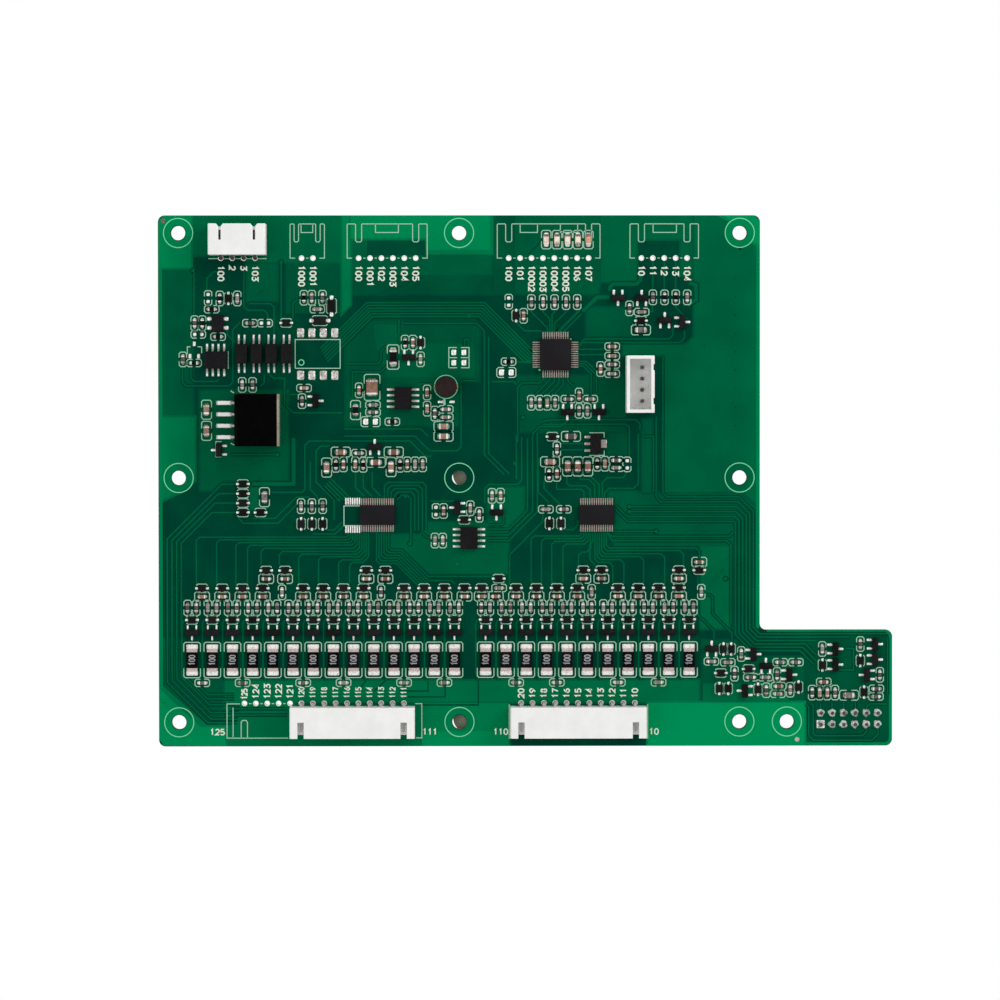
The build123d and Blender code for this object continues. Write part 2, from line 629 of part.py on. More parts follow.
def upright_offsets():
    """Y of each upright pin, measured from the socket's middle."""
    half = (UPRIGHT_PINS - 1) / 2
    return [(index - half) * UPRIGHT_PIN_PITCH for index in range(UPRIGHT_PINS)]


def write_upright_socket():
    """Write the upright socket's housing and its four straight pins."""
    x, y = UPRIGHT_CENTRE
    write_node("upright_socket_housing", [at_board(upright_housing(), x, y)])
    reach = PIN_TAIL + BOARD_THICKNESS + UPRIGHT_PIN_RISE
    pin = extrude(Pos(0, 0, -PIN_TAIL) * Rectangle(PIN_WIDTH, PIN_WIDTH), reach)
    pins = [Pos(px, py, 0) * pin for px, py in upright_socket_positions()]
    write_node("upright_socket_pins", pins)


def write_back_header():
    """Write the double-row header on the tab's back, its body and its pins."""
    places = header_positions()
    centre_x = (places[0][0] + places[-1][0]) / 2
    centre_y = (places[0][1] + places[-1][1]) / 2
    outline = Rectangle(HEADER_COLUMN_COUNT * PIN_PITCH, HEADER_ROW_COUNT * PIN_PITCH)
    body = extrude(Pos(centre_x, centre_y, -HEADER_BODY_HEIGHT) * outline, HEADER_BODY_HEIGHT)
    low = -HEADER_BODY_HEIGHT - HEADER_PIN_REACH
    length = BOARD_THICKNESS + HEADER_PIN_STUB - low
    pin = extrude(Pos(0, 0, low) * Rectangle(PIN_WIDTH, PIN_WIDTH), length)
    pins = [Pos(x, y, 0) * pin for x, y in places]
    for solid in pins:
        body -= solid
    write_node("back_header_body", [body])
    write_node("back_header_pins", pins)


def three_leads():
    """The flat leads of a transistor: a pair towards +Y and one towards -Y."""
    lead = flat_lead(TRANSISTOR_WIDTH / 2, TRANSISTOR_LEAD_SPAN / 2, TRANSISTOR_LEAD_WIDTH)
    half = TRANSISTOR_LEAD_SPACING / 2
    pair = [Pos(x, 0, 0) * Rot(0, 0, QUARTER_TURN) * lead for x in (-half, half)]
    return pair + [Rot(0, 0, -QUARTER_TURN) * lead]


def transistor_body():
    """The moulded case of a transistor, its long side along X."""
    return moulded_body(TRANSISTOR_LENGTH, TRANSISTOR_WIDTH, TRANSISTOR_HEIGHT)


def two_leads(case_length, span, width):
    """The flat leads at both ends of a diode."""
    lead = flat_lead(case_length / 2, span / 2, width)
    return [lead, Rot(0, 0, 2 * QUARTER_TURN) * lead]


def small_diodes(name, places):
    """Write one group of small diodes. Their leads are slivers under the solder, left out."""
    body = moulded_body(SMALL_DIODE_LENGTH, SMALL_DIODE_WIDTH, SMALL_DIODE_HEIGHT, bottom=0)
    write_node(name, set_down([body], places))


def write_supply_diodes():
    """Write the cases and the leads of the supply's large diodes and of its four-lead bridge."""
    body = moulded_body(LARGE_DIODE_LENGTH, LARGE_DIODE_WIDTH, LARGE_DIODE_HEIGHT)
    bridge = moulded_body(LARGE_DIODE_LENGTH, BRIDGE_WIDTH, LARGE_DIODE_HEIGHT)
    leads = two_leads(LARGE_DIODE_LENGTH, LARGE_DIODE_SPAN, LARGE_DIODE_LEAD_WIDTH)
    places = upright(LARGE_DIODES_UPRIGHT) + flat(LARGE_DIODES_FLAT)
    x, y = BRIDGE_CENTRE
    half = BRIDGE_LEAD_SPACING / 2
    rows = flat([(x, y - half), (x, y + half)])
    write_node("supply_diode_bodies", set_down([body], places) + [at_board(bridge, x, y)])
    write_node("supply_diode_leads", set_down(leads, places + rows))


def transistors(name, places):
    """Write the cases and the leads of one group of transistors."""
    write_node(f"{name}_bodies", set_down([transistor_body()], places))
    write_node(f"{name}_leads", set_down(three_leads(), places))


def small_resistors(name, places):
    """Write one group of small chip resistors."""
    block = chip(SMALL_CHIP_LENGTH, SMALL_CHIP_WIDTH, SMALL_RESISTOR_HEIGHT)
    write_node(name, set_down([block], places))


def small_capacitors(name, places):
    """Write one group of small chip capacitors."""
    block = chip(SMALL_CHIP_LENGTH, SMALL_CHIP_WIDTH, SMALL_CAPACITOR_HEIGHT)
    write_node(name, set_down([block], places))


def cell_columns(columns, shift=0.0):
    """X of the chosen cell columns of both groups, shifted by a share of each group's pitch."""
    left, right = columns
    places = [LEFT_FIRST_CELL + (column + shift) * LEFT_CELL_PITCH for column in left]
    places += [RIGHT_FIRST_CELL + (column + shift) * RIGHT_CELL_PITCH for column in right]
    return places


def write_cell_bank():
    """Write the balancing circuits: one column of parts for each cell."""
    every = cell_columns((range(LEFT_CELLS), range(RIGHT_CELLS)))
    balance_row = BOTTOM_EDGE + BALANCE_ROW_INSET
    block = chip(BALANCE_RESISTOR_LENGTH, BALANCE_RESISTOR_WIDTH, BALANCE_RESISTOR_HEIGHT)
    places = upright([(x, balance_row) for x in every])
    write_node("balance_resistors", set_down([block], places))
    transistor_row = BOTTOM_EDGE + TRANSISTOR_ROW_INSET
    transistors("balance_transistor", flat([(x, transistor_row) for x in every]))
    diode_row = BOTTOM_EDGE + GATE_DIODE_ROW_INSET
    small_diodes("gate_diodes", flat([(x, diode_row) for x in every]))
    gate_row = BOTTOM_EDGE + GATE_RESISTOR_ROW_INSET
    half = GATE_RESISTOR_SPACING / 2
    pairs = [(x + side * half, gate_row) for x in every for side in (-1, 1)]
    small_resistors("gate_resistors", upright(pairs))
    write_filters()


def write_filters():
    """Write the filter parts that stand between the cell columns, and the link resistors."""
    diode_row = BOTTOM_EDGE + FILTER_DIODE_ROW_INSET
    capacitor_row = BOTTOM_EDGE + FILTER_CAPACITOR_ROW_INSET
    low = cell_columns((LEFT_LOW_COLUMNS, RIGHT_LOW_COLUMNS), shift=0.5)
    first = RIGHT_FIRST_CELL + FIRST_FILTER_SHIFT
    last = RIGHT_FIRST_CELL + (RIGHT_CELLS - 0.5) * RIGHT_CELL_PITCH
    beside = RIGHT_FIRST_CELL + 0.5 * RIGHT_CELL_PITCH
    diodes = [(x, diode_row) for x in low + [first]]
    raised = cell_columns((LEFT_RAISED_COLUMNS, RIGHT_RAISED_COLUMNS))
    diodes += [(x, diode_row + RAISED_STEP) for x in raised + [last]]
    diodes.append((beside + LONE_DIODE_SHIFT, diode_row + LONE_DIODE_RISE))
    small_diodes("filter_diodes", flat(diodes))
    capacitors = [(x, capacitor_row) for x in low + [first, beside]]
    capacitors += [(x, capacitor_row + RAISED_STEP) for x in raised]
    capacitors.append((last, diode_row + RAISED_STEP + LAST_FILTER_RISE))
    small_capacitors("filter_capacitors", flat(capacitors))
    series_row = BOTTOM_EDGE + SERIES_RESISTOR_ROW_INSET
    link_row = BOTTOM_EDGE + LINK_RESISTOR_ROW_INSET
    links = cell_columns((LEFT_LINK_COLUMNS, RIGHT_LINK_COLUMNS), shift=0.5)
    series = cell_columns((LEFT_SERIES_COLUMNS, RIGHT_SERIES_COLUMNS))
    resistors = upright([(x, series_row) for x in series])
    lone = (beside + LONE_RESISTOR_SHIFT, diode_row)
    resistors += flat([(x, link_row) for x in links] + [lone])
    small_resistors("link_resistors", resistors)


def write_chip_with_rows(name, length, width, height, span, pitch, lead_width, count, places):
    """Write the cases and the gull-wing leads of a chip with two rows of leads."""
    rise = height / 2 - LEAD_THICKNESS / 2
    body = parted_body(length, width, height, height / 2)
    lead = gull_lead((span - width) / 2, rise, lead_width, GULL_FOOT, LEAD_THICKNESS)
    rows = lead_rows(lead, width / 2, pitch, count)
    write_node(f"{name}_bodies", set_down([body], places))
    write_node(f"{name}_leads", set_down(rows, places))


def write_controller():
    """Write the controller's case and its four rows of fine gull-wing leads."""
    x, y = CONTROLLER_CENTRE
    middle = CONTROLLER_HEIGHT / 2
    body = parted_body(CONTROLLER_SIDE, CONTROLLER_SIDE, CONTROLLER_HEIGHT, middle)
    run = (CONTROLLER_SPAN - CONTROLLER_SIDE) / 2
    rise = middle - LEAD_THICKNESS / 2
    lead = gull_lead(run, rise, CONTROLLER_LEAD_WIDTH, GULL_FOOT, LEAD_THICKNESS)
    rows = lead_rows(lead, CONTROLLER_SIDE / 2, CONTROLLER_LEAD_PITCH, CONTROLLER_LEADS_PER_SIDE)
    write_node("controller_body", [at_board(body, x, y)])
    write_node("controller_leads", set_down(rows, flat([(x, y)]) + upright([(x, y)])))


def write_monitors():
    """Write the two cell monitors. They are so low that their fine leads lie flat all along."""
    places = flat(MONITOR_CENTRES)
    body = moulded_body(MONITOR_LENGTH, MONITOR_WIDTH, MONITOR_HEIGHT)
    lead = flat_lead(0, (MONITOR_SPAN - MONITOR_WIDTH) / 2, MONITOR_LEAD_WIDTH)
    rows = lead_rows(lead, MONITOR_WIDTH / 2, MONITOR_LEAD_PITCH, MONITOR_LEADS_PER_SIDE)
    write_node("monitor_bodies", set_down([body], places))
    write_node("monitor_leads", set_down(rows, places))


def write_chips():
    """Write the controller, cell monitors, drivers and isolators."""
    write_controller()
    write_monitors()
    write_chip_with_rows("driver", DRIVER_LENGTH, DRIVER_WIDTH, DRIVER_HEIGHT, DRIVER_SPAN,
                         DRIVER_LEAD_PITCH, DRIVER_LEAD_WIDTH, DRIVER_LEADS_PER_SIDE,
                         DRIVER_PLACES)
    isolators = flat([(x, ISOLATOR_ROW_Y) for x in ISOLATOR_ROW_X])
    write_chip_with_rows("isolator", ISOLATOR_LENGTH, ISOLATOR_WIDTH, ISOLATOR_HEIGHT,
                         ISOLATOR_SPAN, ISOLATOR_LEAD_PITCH, ISOLATOR_LEAD_WIDTH,
                         ISOLATOR_LEADS_PER_SIDE, isolators)


def write_regulator():
    """Write the regulator: its case, three narrow leads and its wide cooling tab."""
    x, y = REGULATOR_CENTRE
    body = moulded_body(REGULATOR_WIDTH, REGULATOR_LENGTH, REGULATOR_HEIGHT)
    outer = REGULATOR_WIDTH / 2 + REGULATOR_LEAD_LENGTH
    lead = flat_lead(REGULATOR_WIDTH / 2, outer, REGULATOR_LEAD_WIDTH)
    turned = Rot(0, 0, 2 * QUARTER_TURN) * lead
    leads = [Pos(0, step * REGULATOR_LEAD_PITCH, 0) * turned for step in (-1, 0, 1)]
    leads.append(flat_lead(REGULATOR_WIDTH / 2, outer, REGULATOR_TAB_WIDTH))
    write_node("regulator_body", [at_board(body, x, y)])
    write_node("regulator_leads", set_down(leads, [(x, y, 0)]))


def write_module():
    """Write the supply module: its case, the pale strip on its far end and its four leads."""
    x, y = MODULE_CENTRE
    case = extrude(Rectangle(MODULE_WIDTH, MODULE_LENGTH), MODULE_HEIGHT)
    long_edges = case.edges().filter_by(Axis.Y).group_by(Axis.Z)[-1].sort_by(Axis.X)[:1]
    case = chamfer(long_edges, MODULE_EDGE_CHAMFER)
    strip = extrude(Rectangle(MODULE_END_STRIP, MODULE_LENGTH), MODULE_HEIGHT)
    strip = Pos((MODULE_WIDTH + MODULE_END_STRIP) / 2, 0, 0) * strip
    lead = gull_lead(MODULE_LEAD_RUN, MODULE_LEAD_HEIGHT, MODULE_LEAD_WIDTH, MODULE_LEAD_FOOT,
                     MODULE_LEAD_THICKNESS, MODULE_LEAD_SHOULDER)
    leads = []
    for index in range(MODULE_LEADS):
        step = (index - (MODULE_LEADS - 1) / 2) * MODULE_LEAD_PITCH
        leads.append(Pos(-MODULE_WIDTH / 2, step, 0) * Rot(0, 0, 2 * QUARTER_TURN) * lead)
    write_node("supply_module_case", [at_board(case, x, y)])
    write_node("supply_module_end_strip", [at_board(strip, x, y)])
    write_node("supply_module_leads", set_down(leads, [(x, y, 0)]))


def write_coil():
    """Write the wound coil: a ferrite drum, its winding and its two solder feet."""
    x, y = COIL_CENTRE
    bottom = COIL_FOOT_THICKNESS
    outer = COIL_DIAMETER / 2
    hub = COIL_HUB_DIAMETER / 2
    low = bottom + COIL_FLANGE
    high = COIL_HEIGHT - COIL_FLANGE
    outline = [
        (0, bottom), (outer, bottom), (outer, low), (hub, low), (hub, high), (outer, high),
        (outer, COIL_HEIGHT), (0, COIL_HEIGHT),
    ]
    drum = revolve(make_face(Plane.XZ * Polyline(*outline, close=True)), Axis.Z)
    ring = Circle(outer - COIL_WINDING_INSET) - Circle(hub)
    winding = extrude(Pos(0, 0, low) * ring, high - low)
    foot = extrude(Rectangle(COIL_FOOT_LENGTH, COIL_FOOT_WIDTH), COIL_FOOT_THICKNESS)
    offset = outer - COIL_FOOT_LENGTH / 2
    write_node("coil_drum", [at_board(drum, x, y)])
    write_node("coil_winding", [at_board(winding, x, y)])
    write_node("coil_feet", set_down([Pos(side * offset, 0, 0) * foot for side in (-1, 1)],
                                     [(x, y, 0)]))


def write_small_parts():
    """Write the loose chip parts, diodes and transistors of each circuit."""
    small_resistors("supply_resistors",
                    upright(SUPPLY_RESISTORS_UPRIGHT) + flat(SUPPLY_RESISTORS_FLAT))
    small_resistors("driver_resistors",
                    upright(DRIVER_RESISTORS_UPRIGHT) + flat(DRIVER_RESISTORS_FLAT))
    near_controller = upright(CONTROLLER_RESISTORS_UPRIGHT + INTERFACE_RESISTORS_UPRIGHT)
    near_controller += flat(CONTROLLER_RESISTORS_FLAT + INTERFACE_RESISTORS_FLAT)
    small_resistors("controller_resistors", near_controller)
    small_resistors("monitor_resistors",
                    upright(MONITOR_RESISTORS_UPRIGHT) + flat(MONITOR_RESISTORS_FLAT))
    small_resistors("tab_resistors", from_tab(upright(TAB_RESISTORS_UPRIGHT)
                                              + flat(TAB_RESISTORS_FLAT)))
    capacitors = upright(SMALL_CAPACITORS_UPRIGHT) + flat(SMALL_CAPACITORS_FLAT)
    capacitors += from_tab(upright(TAB_CAPACITORS_UPRIGHT) + flat(TAB_CAPACITORS_FLAT))
    small_capacitors("small_capacitors", capacitors)
    small_diodes("signal_diodes", upright(SMALL_DIODES_UPRIGHT) + flat(SMALL_DIODES_FLAT))
    small_diodes("tab_diodes", from_tab(upright(TAB_DIODES_UPRIGHT) + flat(TAB_DIODES_FLAT)))
    write_supply_diodes()
    transistors("circuit_transistor", CIRCUIT_TRANSISTORS)
    transistors("tab_transistor", from_tab(TAB_TRANSISTORS))


def write_large_chips():
    """Write the larger chip resistors and capacitors and the row of indicator lamps."""
    resistor = chip(LARGE_CHIP_LENGTH, LARGE_CHIP_WIDTH, LARGE_RESISTOR_HEIGHT)
    places = upright(LARGE_RESISTORS_UPRIGHT) + flat(LARGE_RESISTORS_FLAT)
    places += from_tab(flat(TAB_LARGE_RESISTORS_FLAT))
    write_node("large_resistors", set_down([resistor], places))
    capacitor = chip(LARGE_CHIP_LENGTH, LARGE_CHIP_WIDTH, LARGE_CAPACITOR_HEIGHT)
    places = upright(LARGE_CAPACITORS_UPRIGHT) + flat(LARGE_CAPACITORS_FLAT)
    write_node("large_capacitors", set_down([capacitor], places))
    shunt = chip(SHUNT_RESISTOR_LENGTH, SHUNT_RESISTOR_WIDTH, LARGE_RESISTOR_HEIGHT)
    write_node("shunt_resistor", set_down([shunt], upright([SHUNT_RESISTOR_CENTRE])))
    bulk = chip(BULK_CAPACITOR_LENGTH, BULK_CAPACITOR_WIDTH, BULK_CAPACITOR_HEIGHT)
    write_node("bulk_capacitor", set_down([bulk], upright([BULK_CAPACITOR_CENTRE])))
    lamp = chip(LARGE_CHIP_LENGTH, LARGE_CHIP_WIDTH, LAMP_HEIGHT)
    row = TOP_EDGE - LAMP_ROW_INSET
    write_node("indicator_lamps", set_down([lamp], upright([(x, row) for x in LAMP_COLUMNS])))


def main():
    """Write every sub-part of the board."""
    os.makedirs("parts", exist_ok=True)
    write_node("circuit_board", [circuit_board()])
    write_side_sockets()
    write_upright_socket()
    write_back_header()
    write_cell_bank()
    write_chips()
    write_regulator()
    write_module()
    write_coil()
    write_small_parts()
    write_large_chips()


main()
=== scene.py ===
"""Looks of the battery management board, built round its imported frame.

Lengths are in millimetres wherever a name doesn't say otherwise. The frame's nodes give every part
its place and size. This script adds bevels, metal ends, formed leads, solder, copper under the
green mask and printed lines. The board's underside is at z = 0 and its component side faces +Z.
"""
import logging
import math
from collections.abc import Sequence
from dataclasses import dataclass, field
from enum import Enum

import bmesh
import bpy
import numpy as np
from mathutils.geometry import tessellate_polygon
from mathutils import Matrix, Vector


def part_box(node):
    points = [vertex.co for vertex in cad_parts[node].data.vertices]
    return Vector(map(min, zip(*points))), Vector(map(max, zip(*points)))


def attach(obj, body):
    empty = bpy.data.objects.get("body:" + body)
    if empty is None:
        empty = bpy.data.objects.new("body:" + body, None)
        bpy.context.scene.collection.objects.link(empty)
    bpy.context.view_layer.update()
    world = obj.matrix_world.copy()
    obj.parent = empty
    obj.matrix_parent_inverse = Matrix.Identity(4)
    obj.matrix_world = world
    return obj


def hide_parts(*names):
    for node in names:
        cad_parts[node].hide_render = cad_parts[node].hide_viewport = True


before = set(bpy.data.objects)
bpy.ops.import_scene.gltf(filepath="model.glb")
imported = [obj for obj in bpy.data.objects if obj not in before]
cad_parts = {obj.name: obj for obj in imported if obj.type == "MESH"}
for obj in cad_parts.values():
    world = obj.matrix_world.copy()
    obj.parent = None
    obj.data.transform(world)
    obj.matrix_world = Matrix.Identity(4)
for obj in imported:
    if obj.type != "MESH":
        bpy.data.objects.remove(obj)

LOG = logging.getLogger("board")
MM = 0.001
BODY = "root"
BOARD_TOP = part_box("circuit_board")[1][2] / MM
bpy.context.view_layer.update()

Path = Sequence[tuple[float, float]]
Socket = bpy.types.NodeSocket
Material = bpy.types.Material


# Shapes


@dataclass
class Shape:
    """A closed surface.

    Attributes:
        points: one row of x, y and z for each corner, in millimetres.
        faces: corner numbers of each face, in order round its outward side.
    """

    points: np.ndarray
    faces: list[tuple[int, ...]]

    def moved(self, x: float = 0.0, y: float = 0.0, z: float = 0.0, turn: float = 0.0) -> "Shape":
        """Turn the shape about Z by an angle in degrees, then shift it."""
        angle = math.radians(turn)
        spin = np.array([[math.cos(angle), math.sin(angle)], [-math.sin(angle), math.cos(angle)]])
        points = self.points.copy()
        points[:, :2] = points[:, :2] @ spin
        return Shape(points + (x, y, z), self.faces)

    def seated(self, block: "Block") -> "Shape":
        """Turn the shape along a block and shift it to the middle of the block's underside."""
        return self.moved(*block.centre, block.low[2], block.turn)

    def under_board(self) -> "Shape":
        """Mirror a shape that stands on the upper face, so that it hangs from the underside."""
        points = self.points * (1, 1, -1) + (0, 0, BOARD_TOP)
        return Shape(points, [face[::-1] for face in self.faces])


def loft(rings: np.ndarray, closed: bool = False) -> Shape:
    """Skin a run of outlines.

    The surface's two parameters are the step along the run and the step round the outline. Each
    four-sided face joins neighbouring steps of both. The end outlines become caps.

    Args:
        rings: array of (steps along, points round, 3), each outline anticlockwise as seen from the
            run's far end.
        closed: whether the last outline joins the first, in place of the caps.

    Returns:
        The closed surface.
    """
    steps, around, _ = rings.shape
    runs = steps if closed else steps - 1
    along = np.arange(runs)[:, None]
    turn = np.arange(around)[None, :]
    beside = (turn + 1) % around
    ahead = (along + 1) % steps
    quads = np.stack([
        along * around + turn, along * around + beside, ahead * around + beside,
        ahead * around + turn,
    ], axis=-1).reshape(-1, 4)
    faces = [tuple(quad) for quad in quads.tolist()]
    if not closed:
        faces.append(tuple(range(around - 1, -1, -1)))
        faces.append(tuple(range((steps - 1) * around, steps * around)))
    return Shape(rings.reshape(-1, 3), faces)


def outline(length: float, width: float, corner: float, steps: int = 1,
            shift: float = 0.0) -> np.ndarray:
    """Outline of a rectangle with rounded corners.

    Each corner's points lie on a quarter circle: its middle, plus the corner radius times the
    cosine and sine of evenly stepped angles.

    Args:
        length: size along X.
        width: size along Y.
        corner: corner radius.
        steps: straight pieces in each corner.
        shift: offset of the middle along X.

    Returns:
        Array of (points, 2), anticlockwise.
    """
    quarter = np.linspace(0, math.pi / 2, steps + 1)
    angles = (np.arange(4)[:, None] * math.pi / 2 + quarter[None, :]).ravel()
    signs = np.repeat([[1, 1], [-1, 1], [-1, -1], [1, -1]], steps + 1, axis=0)
    middle = signs * (np.array([length, width]) / 2 - corner)
    points = middle + corner * np.stack([np.cos(angles), np.sin(angles)], axis=1)
    return points + (shift, 0)


def lifted(flat: np.ndarray, height: float) -> np.ndarray:
    """Give flat points a height."""
    return np.column_stack([flat, np.full(len(flat), height)])


def circle(radius: float, sides: int) -> np.ndarray:
    """Outline of a circle: radius times cosine and sine of evenly stepped angles."""
    angles = np.arange(sides) * 2 * math.pi / sides
    return radius * np.stack([np.cos(angles), np.sin(angles)], axis=1)


def stack(outlines: Sequence[np.ndarray], heights: Sequence[float]) -> Shape:
    """Skin flat outlines that stand at rising heights."""
    return loft(np.stack([lifted(flat, height) for flat, height in zip(outlines, heights)]))


def lathe(radii: Sequence[float], heights: Sequence[float], sides: int) -> Shape:
    """Turn a profile of radii and heights about the Z axis."""
    return stack([circle(radius, sides) for radius in radii], heights)


def revolved(profile: Path, sides: int, phase: float = 0.0) -> Shape:
    """Carry a closed profile round the Z axis.

    A point at an angle is the profile's radius times the angle's cosine and sine, at its height.

    Args:
        profile: radius and height of its corners, anticlockwise.
        sides: number of steps round the axis.
        phase: share of a step by which the first one is turned.

    Returns:
        The ring.
    """
    angles = (np.arange(sides) + phase) * 2 * math.pi / sides
    radii, heights = np.array(profile).T
    rings = np.stack([
        radii * np.cos(angles)[:, None], radii * np.sin(angles)[:, None],
        np.broadcast_to(heights, (sides, len(heights))),
    ], axis=-1)
    return loft(rings[:, ::-1], closed=True)


def washer(inner: float, outer: float, low: float, high: float, sides: int) -> Shape:
    """A flat ring between two radii and two heights."""
    return revolved([(inner, low), (outer, low), (outer, high), (inner, high)], sides)


def ribbon(path: Path, width: float, low: float, high: float) -> Shape:
    """Carry a flat rectangle along a path in the board's plane.

    At each corner of the path the rectangle's sides move outwards by half the width over the cosine
    of half the bend, along the mean of the two sideways directions, so that the strip keeps its
    width.

    Args:
        path: points of the strip's centre line.
        width: width of the strip.
        low: height of its underside.
        high: height of its upper face.

    Returns:
        The closed strip.
    """
    line = np.asarray(path, dtype=float)
    steps = np.diff(line, axis=0)
    steps /= np.linalg.norm(steps, axis=1, keepdims=True)
    side = np.stack([-steps[:, 1], steps[:, 0]], axis=1)
    before = np.vstack([side[:1], side])
    after = np.vstack([side, side[-1:]])
    mean = before + after
    mean /= np.linalg.norm(mean, axis=1, keepdims=True)
    reach = width / 2 / np.sum(mean * before, axis=1, keepdims=True)
    left = line + mean * reach
    right = line - mean * reach
    corners = [(right, low), (left, low), (left, high), (right, high)]
    return loft(np.stack([lifted(flat, height) for flat, height in corners], axis=1))


def strip(profile: Path, width: float, thickness: float) -> Shape:
    """Carry a thin rectangle along a bent profile of x and z, for a formed lead.

    Args:
        profile: x and z of the lead's lower side, outwards from the case.
        width: width across the lead.
        thickness: thickness of the metal, measured upwards.

    Returns:
        The closed lead, pointing along +X.
    """
    line = np.asarray(profile, dtype=float)
    half = width / 2
    corners = [(-half, 0.0), (-half, thickness), (half, thickness), (half, 0.0)]
    rings = [np.column_stack([line[:, 0], np.full(len(line), y), line[:, 1] + rise])
             for y, rise in corners]
    return loft(np.stack(rings, axis=1)[:, ::-1])


def plate(edge: np.ndarray, holes: Sequence[np.ndarray], low: float, high: float) -> Shape:
    """A flat plate with holes: its outlines are filled with triangles above and below.

    Args:
        edge: outer outline, anticlockwise.
        holes: outlines of the holes, anticlockwise.
        low: height of its underside.
        high: height of its upper face.

    Returns:
        The closed plate.
    """
    loops = [edge, *[hole[::-1] for hole in holes]]
    flat = np.concatenate(loops)
    triangles = tessellate_polygon([[(x, y, 0.0) for x, y in loop.tolist()] for loop in loops])
    count = len(flat)
    faces = []
    for triangle in triangles:
        first, second, third = flat[list(triangle)]
        turn = np.cross(np.append(second - first, 0), np.append(third - first, 0))[2]
        upper = tuple(triangle) if turn > 0 else tuple(triangle[::-1])
        faces.append(tuple(corner + count for corner in upper))
        faces.append(upper[::-1])
    start = 0
    for loop in loops:
        size = len(loop)
        for index in range(size):
            here = start + index
            ahead = start + (index + 1) % size
            faces.append((here, ahead, ahead + count, here + count))
        start += size
    return Shape(np.vstack([lifted(flat, low), lifted(flat, high)]), faces)


def ahead(x: float, y: float, turn: float, distance: float) -> tuple[float, float]:
    """The place at a distance from a point, in a direction in degrees from X."""
    angle = math.radians(turn)
    return x + distance * math.cos(angle), y + distance * math.sin(angle)


def inside(point: tuple[float, float], edge: np.ndarray) -> bool:
    """Whether a point lies in an outline: a ray to its right crosses the outline an odd number of
    times."""
    x, y = point
    after = np.roll(edge, -1, axis=0)
    spans = (edge[:, 1] > y) != (after[:, 1] > y)
    slope = (after[spans, 0] - edge[spans, 0]) / (after[spans, 1] - edge[spans, 1])
    return bool(np.sum(edge[spans, 0] + (y - edge[spans, 1]) * slope > x) % 2)


def grown(edge: np.ndarray, distance: float) -> np.ndarray:
    """Move an anticlockwise outline outwards, each corner along the mean of its sides' normals."""
    steps = np.roll(edge, -1, axis=0) - edge
    steps /= np.linalg.norm(steps, axis=1, keepdims=True)
    after = np.stack([steps[:, 1], -steps[:, 0]], axis=1)
    before = np.roll(after, 1, axis=0)
    mean = before + after
    mean /= np.linalg.norm(mean, axis=1, keepdims=True)
    return edge + mean * distance / np.sum(mean * before, axis=1, keepdims=True)


# Lower left corner of the board, and upper right ones of its main part and its tab, all a hair's
# breadth inside the edges. Outlines on the tab reach past the main part's end
BOARD_LOW = (-66.95, -59.85)
MAIN_HIGH = (66.95, 58.35)
TAB_HIGH = (96.55, -34.05)
MAIN_END = 68.0


def on_board(edge: np.ndarray, radius: float = 1.45) -> np.ndarray:
    """Pull an outline's points inside the board, or inside the band of the tab.

    Each point moves to the nearest place in a rectangle. Near a corner it then moves towards the
    middle of the rounded corner, until it is a corner radius away from it.

    Args:
        edge: the outline. One that reaches past the main board lies in the band of the tab.
        radius: radius of the rounded corners.

    Returns:
        The outline on the board.
    """
    low = np.array(BOARD_LOW)
    high = np.array(TAB_HIGH if edge[:, 0].max() > MAIN_END else MAIN_HIGH)
    points = np.clip(edge, low, high)
    inner = np.clip(points, low + radius, high - radius)
    away = points - inner
    reach = np.linalg.norm(away, axis=1, keepdims=True)
    return inner + away * np.minimum(1, radius / np.maximum(reach, 1e-9))


# Reading the frame


@dataclass(frozen=True)
class Block:
    """Box of one solid of a CAD node, in millimetres."""

    low: tuple[float, float, float]
    high: tuple[float, float, float]

    @property
    def centre(self) -> tuple[float, float]:
        """Middle of the box in the board's plane."""
        return (self.low[0] + self.high[0]) / 2, (self.low[1] + self.high[1]) / 2

    @property
    def size(self) -> tuple[float, float, float]:
        """Size along X, Y and Z."""
        return tuple(top - bottom for bottom, top in zip(self.low, self.high))

    @property
    def turn(self) -> float:
        """Angle of the box's long side from X, in degrees."""
        return 90.0 if self.size[1] > self.size[0] else 0.0

    @property
    def long(self) -> float:
        """Length of the longer side."""
        return max(self.size[:2])

    @property
    def short(self) -> float:
        """Length of the shorter side."""
        return min(self.size[:2])


def blocks_of(node: str) -> list[Block]:
    """Find the separate solids of a CAD node.

    Corners at the same place are taken as one. Each corner then takes the lowest number among the
    corners of its triangles, until nothing changes, so every solid ends with one number.

    Args:
        node: name of the CAD node.

    Returns:
        The boxes of its solids, from left to right.
    """
    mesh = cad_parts[node].data
    points = np.empty(len(mesh.vertices) * 3)
    mesh.vertices.foreach_get("co", points)
    points = points.reshape(-1, 3) / MM
    triangles = np.empty(len(mesh.loops), dtype=int)
    mesh.loops.foreach_get("vertex_index", triangles)
    _, same = np.unique(np.round(points, 3), axis=0, return_inverse=True)
    corners = same.ravel()[triangles].reshape(-1, 3)
    label = np.arange(corners.max() + 1)
    while True:
        lowest = label[corners].min(axis=1)
        fresh = label.copy()
        for column in range(3):
            np.minimum.at(fresh, corners[:, column], lowest)
        if np.array_equal(fresh, label):
            break
        label = fresh
    found = []
    owner = label[same.ravel()]
    for number in np.unique(label[corners]):
        own = points[owner == number]
        found.append(Block(tuple(own.min(axis=0).tolist()), tuple(own.max(axis=0).tolist())))
    return sorted(found, key=lambda block: (round(block.centre[0], 2), round(block.centre[1], 2)))


# Finishes


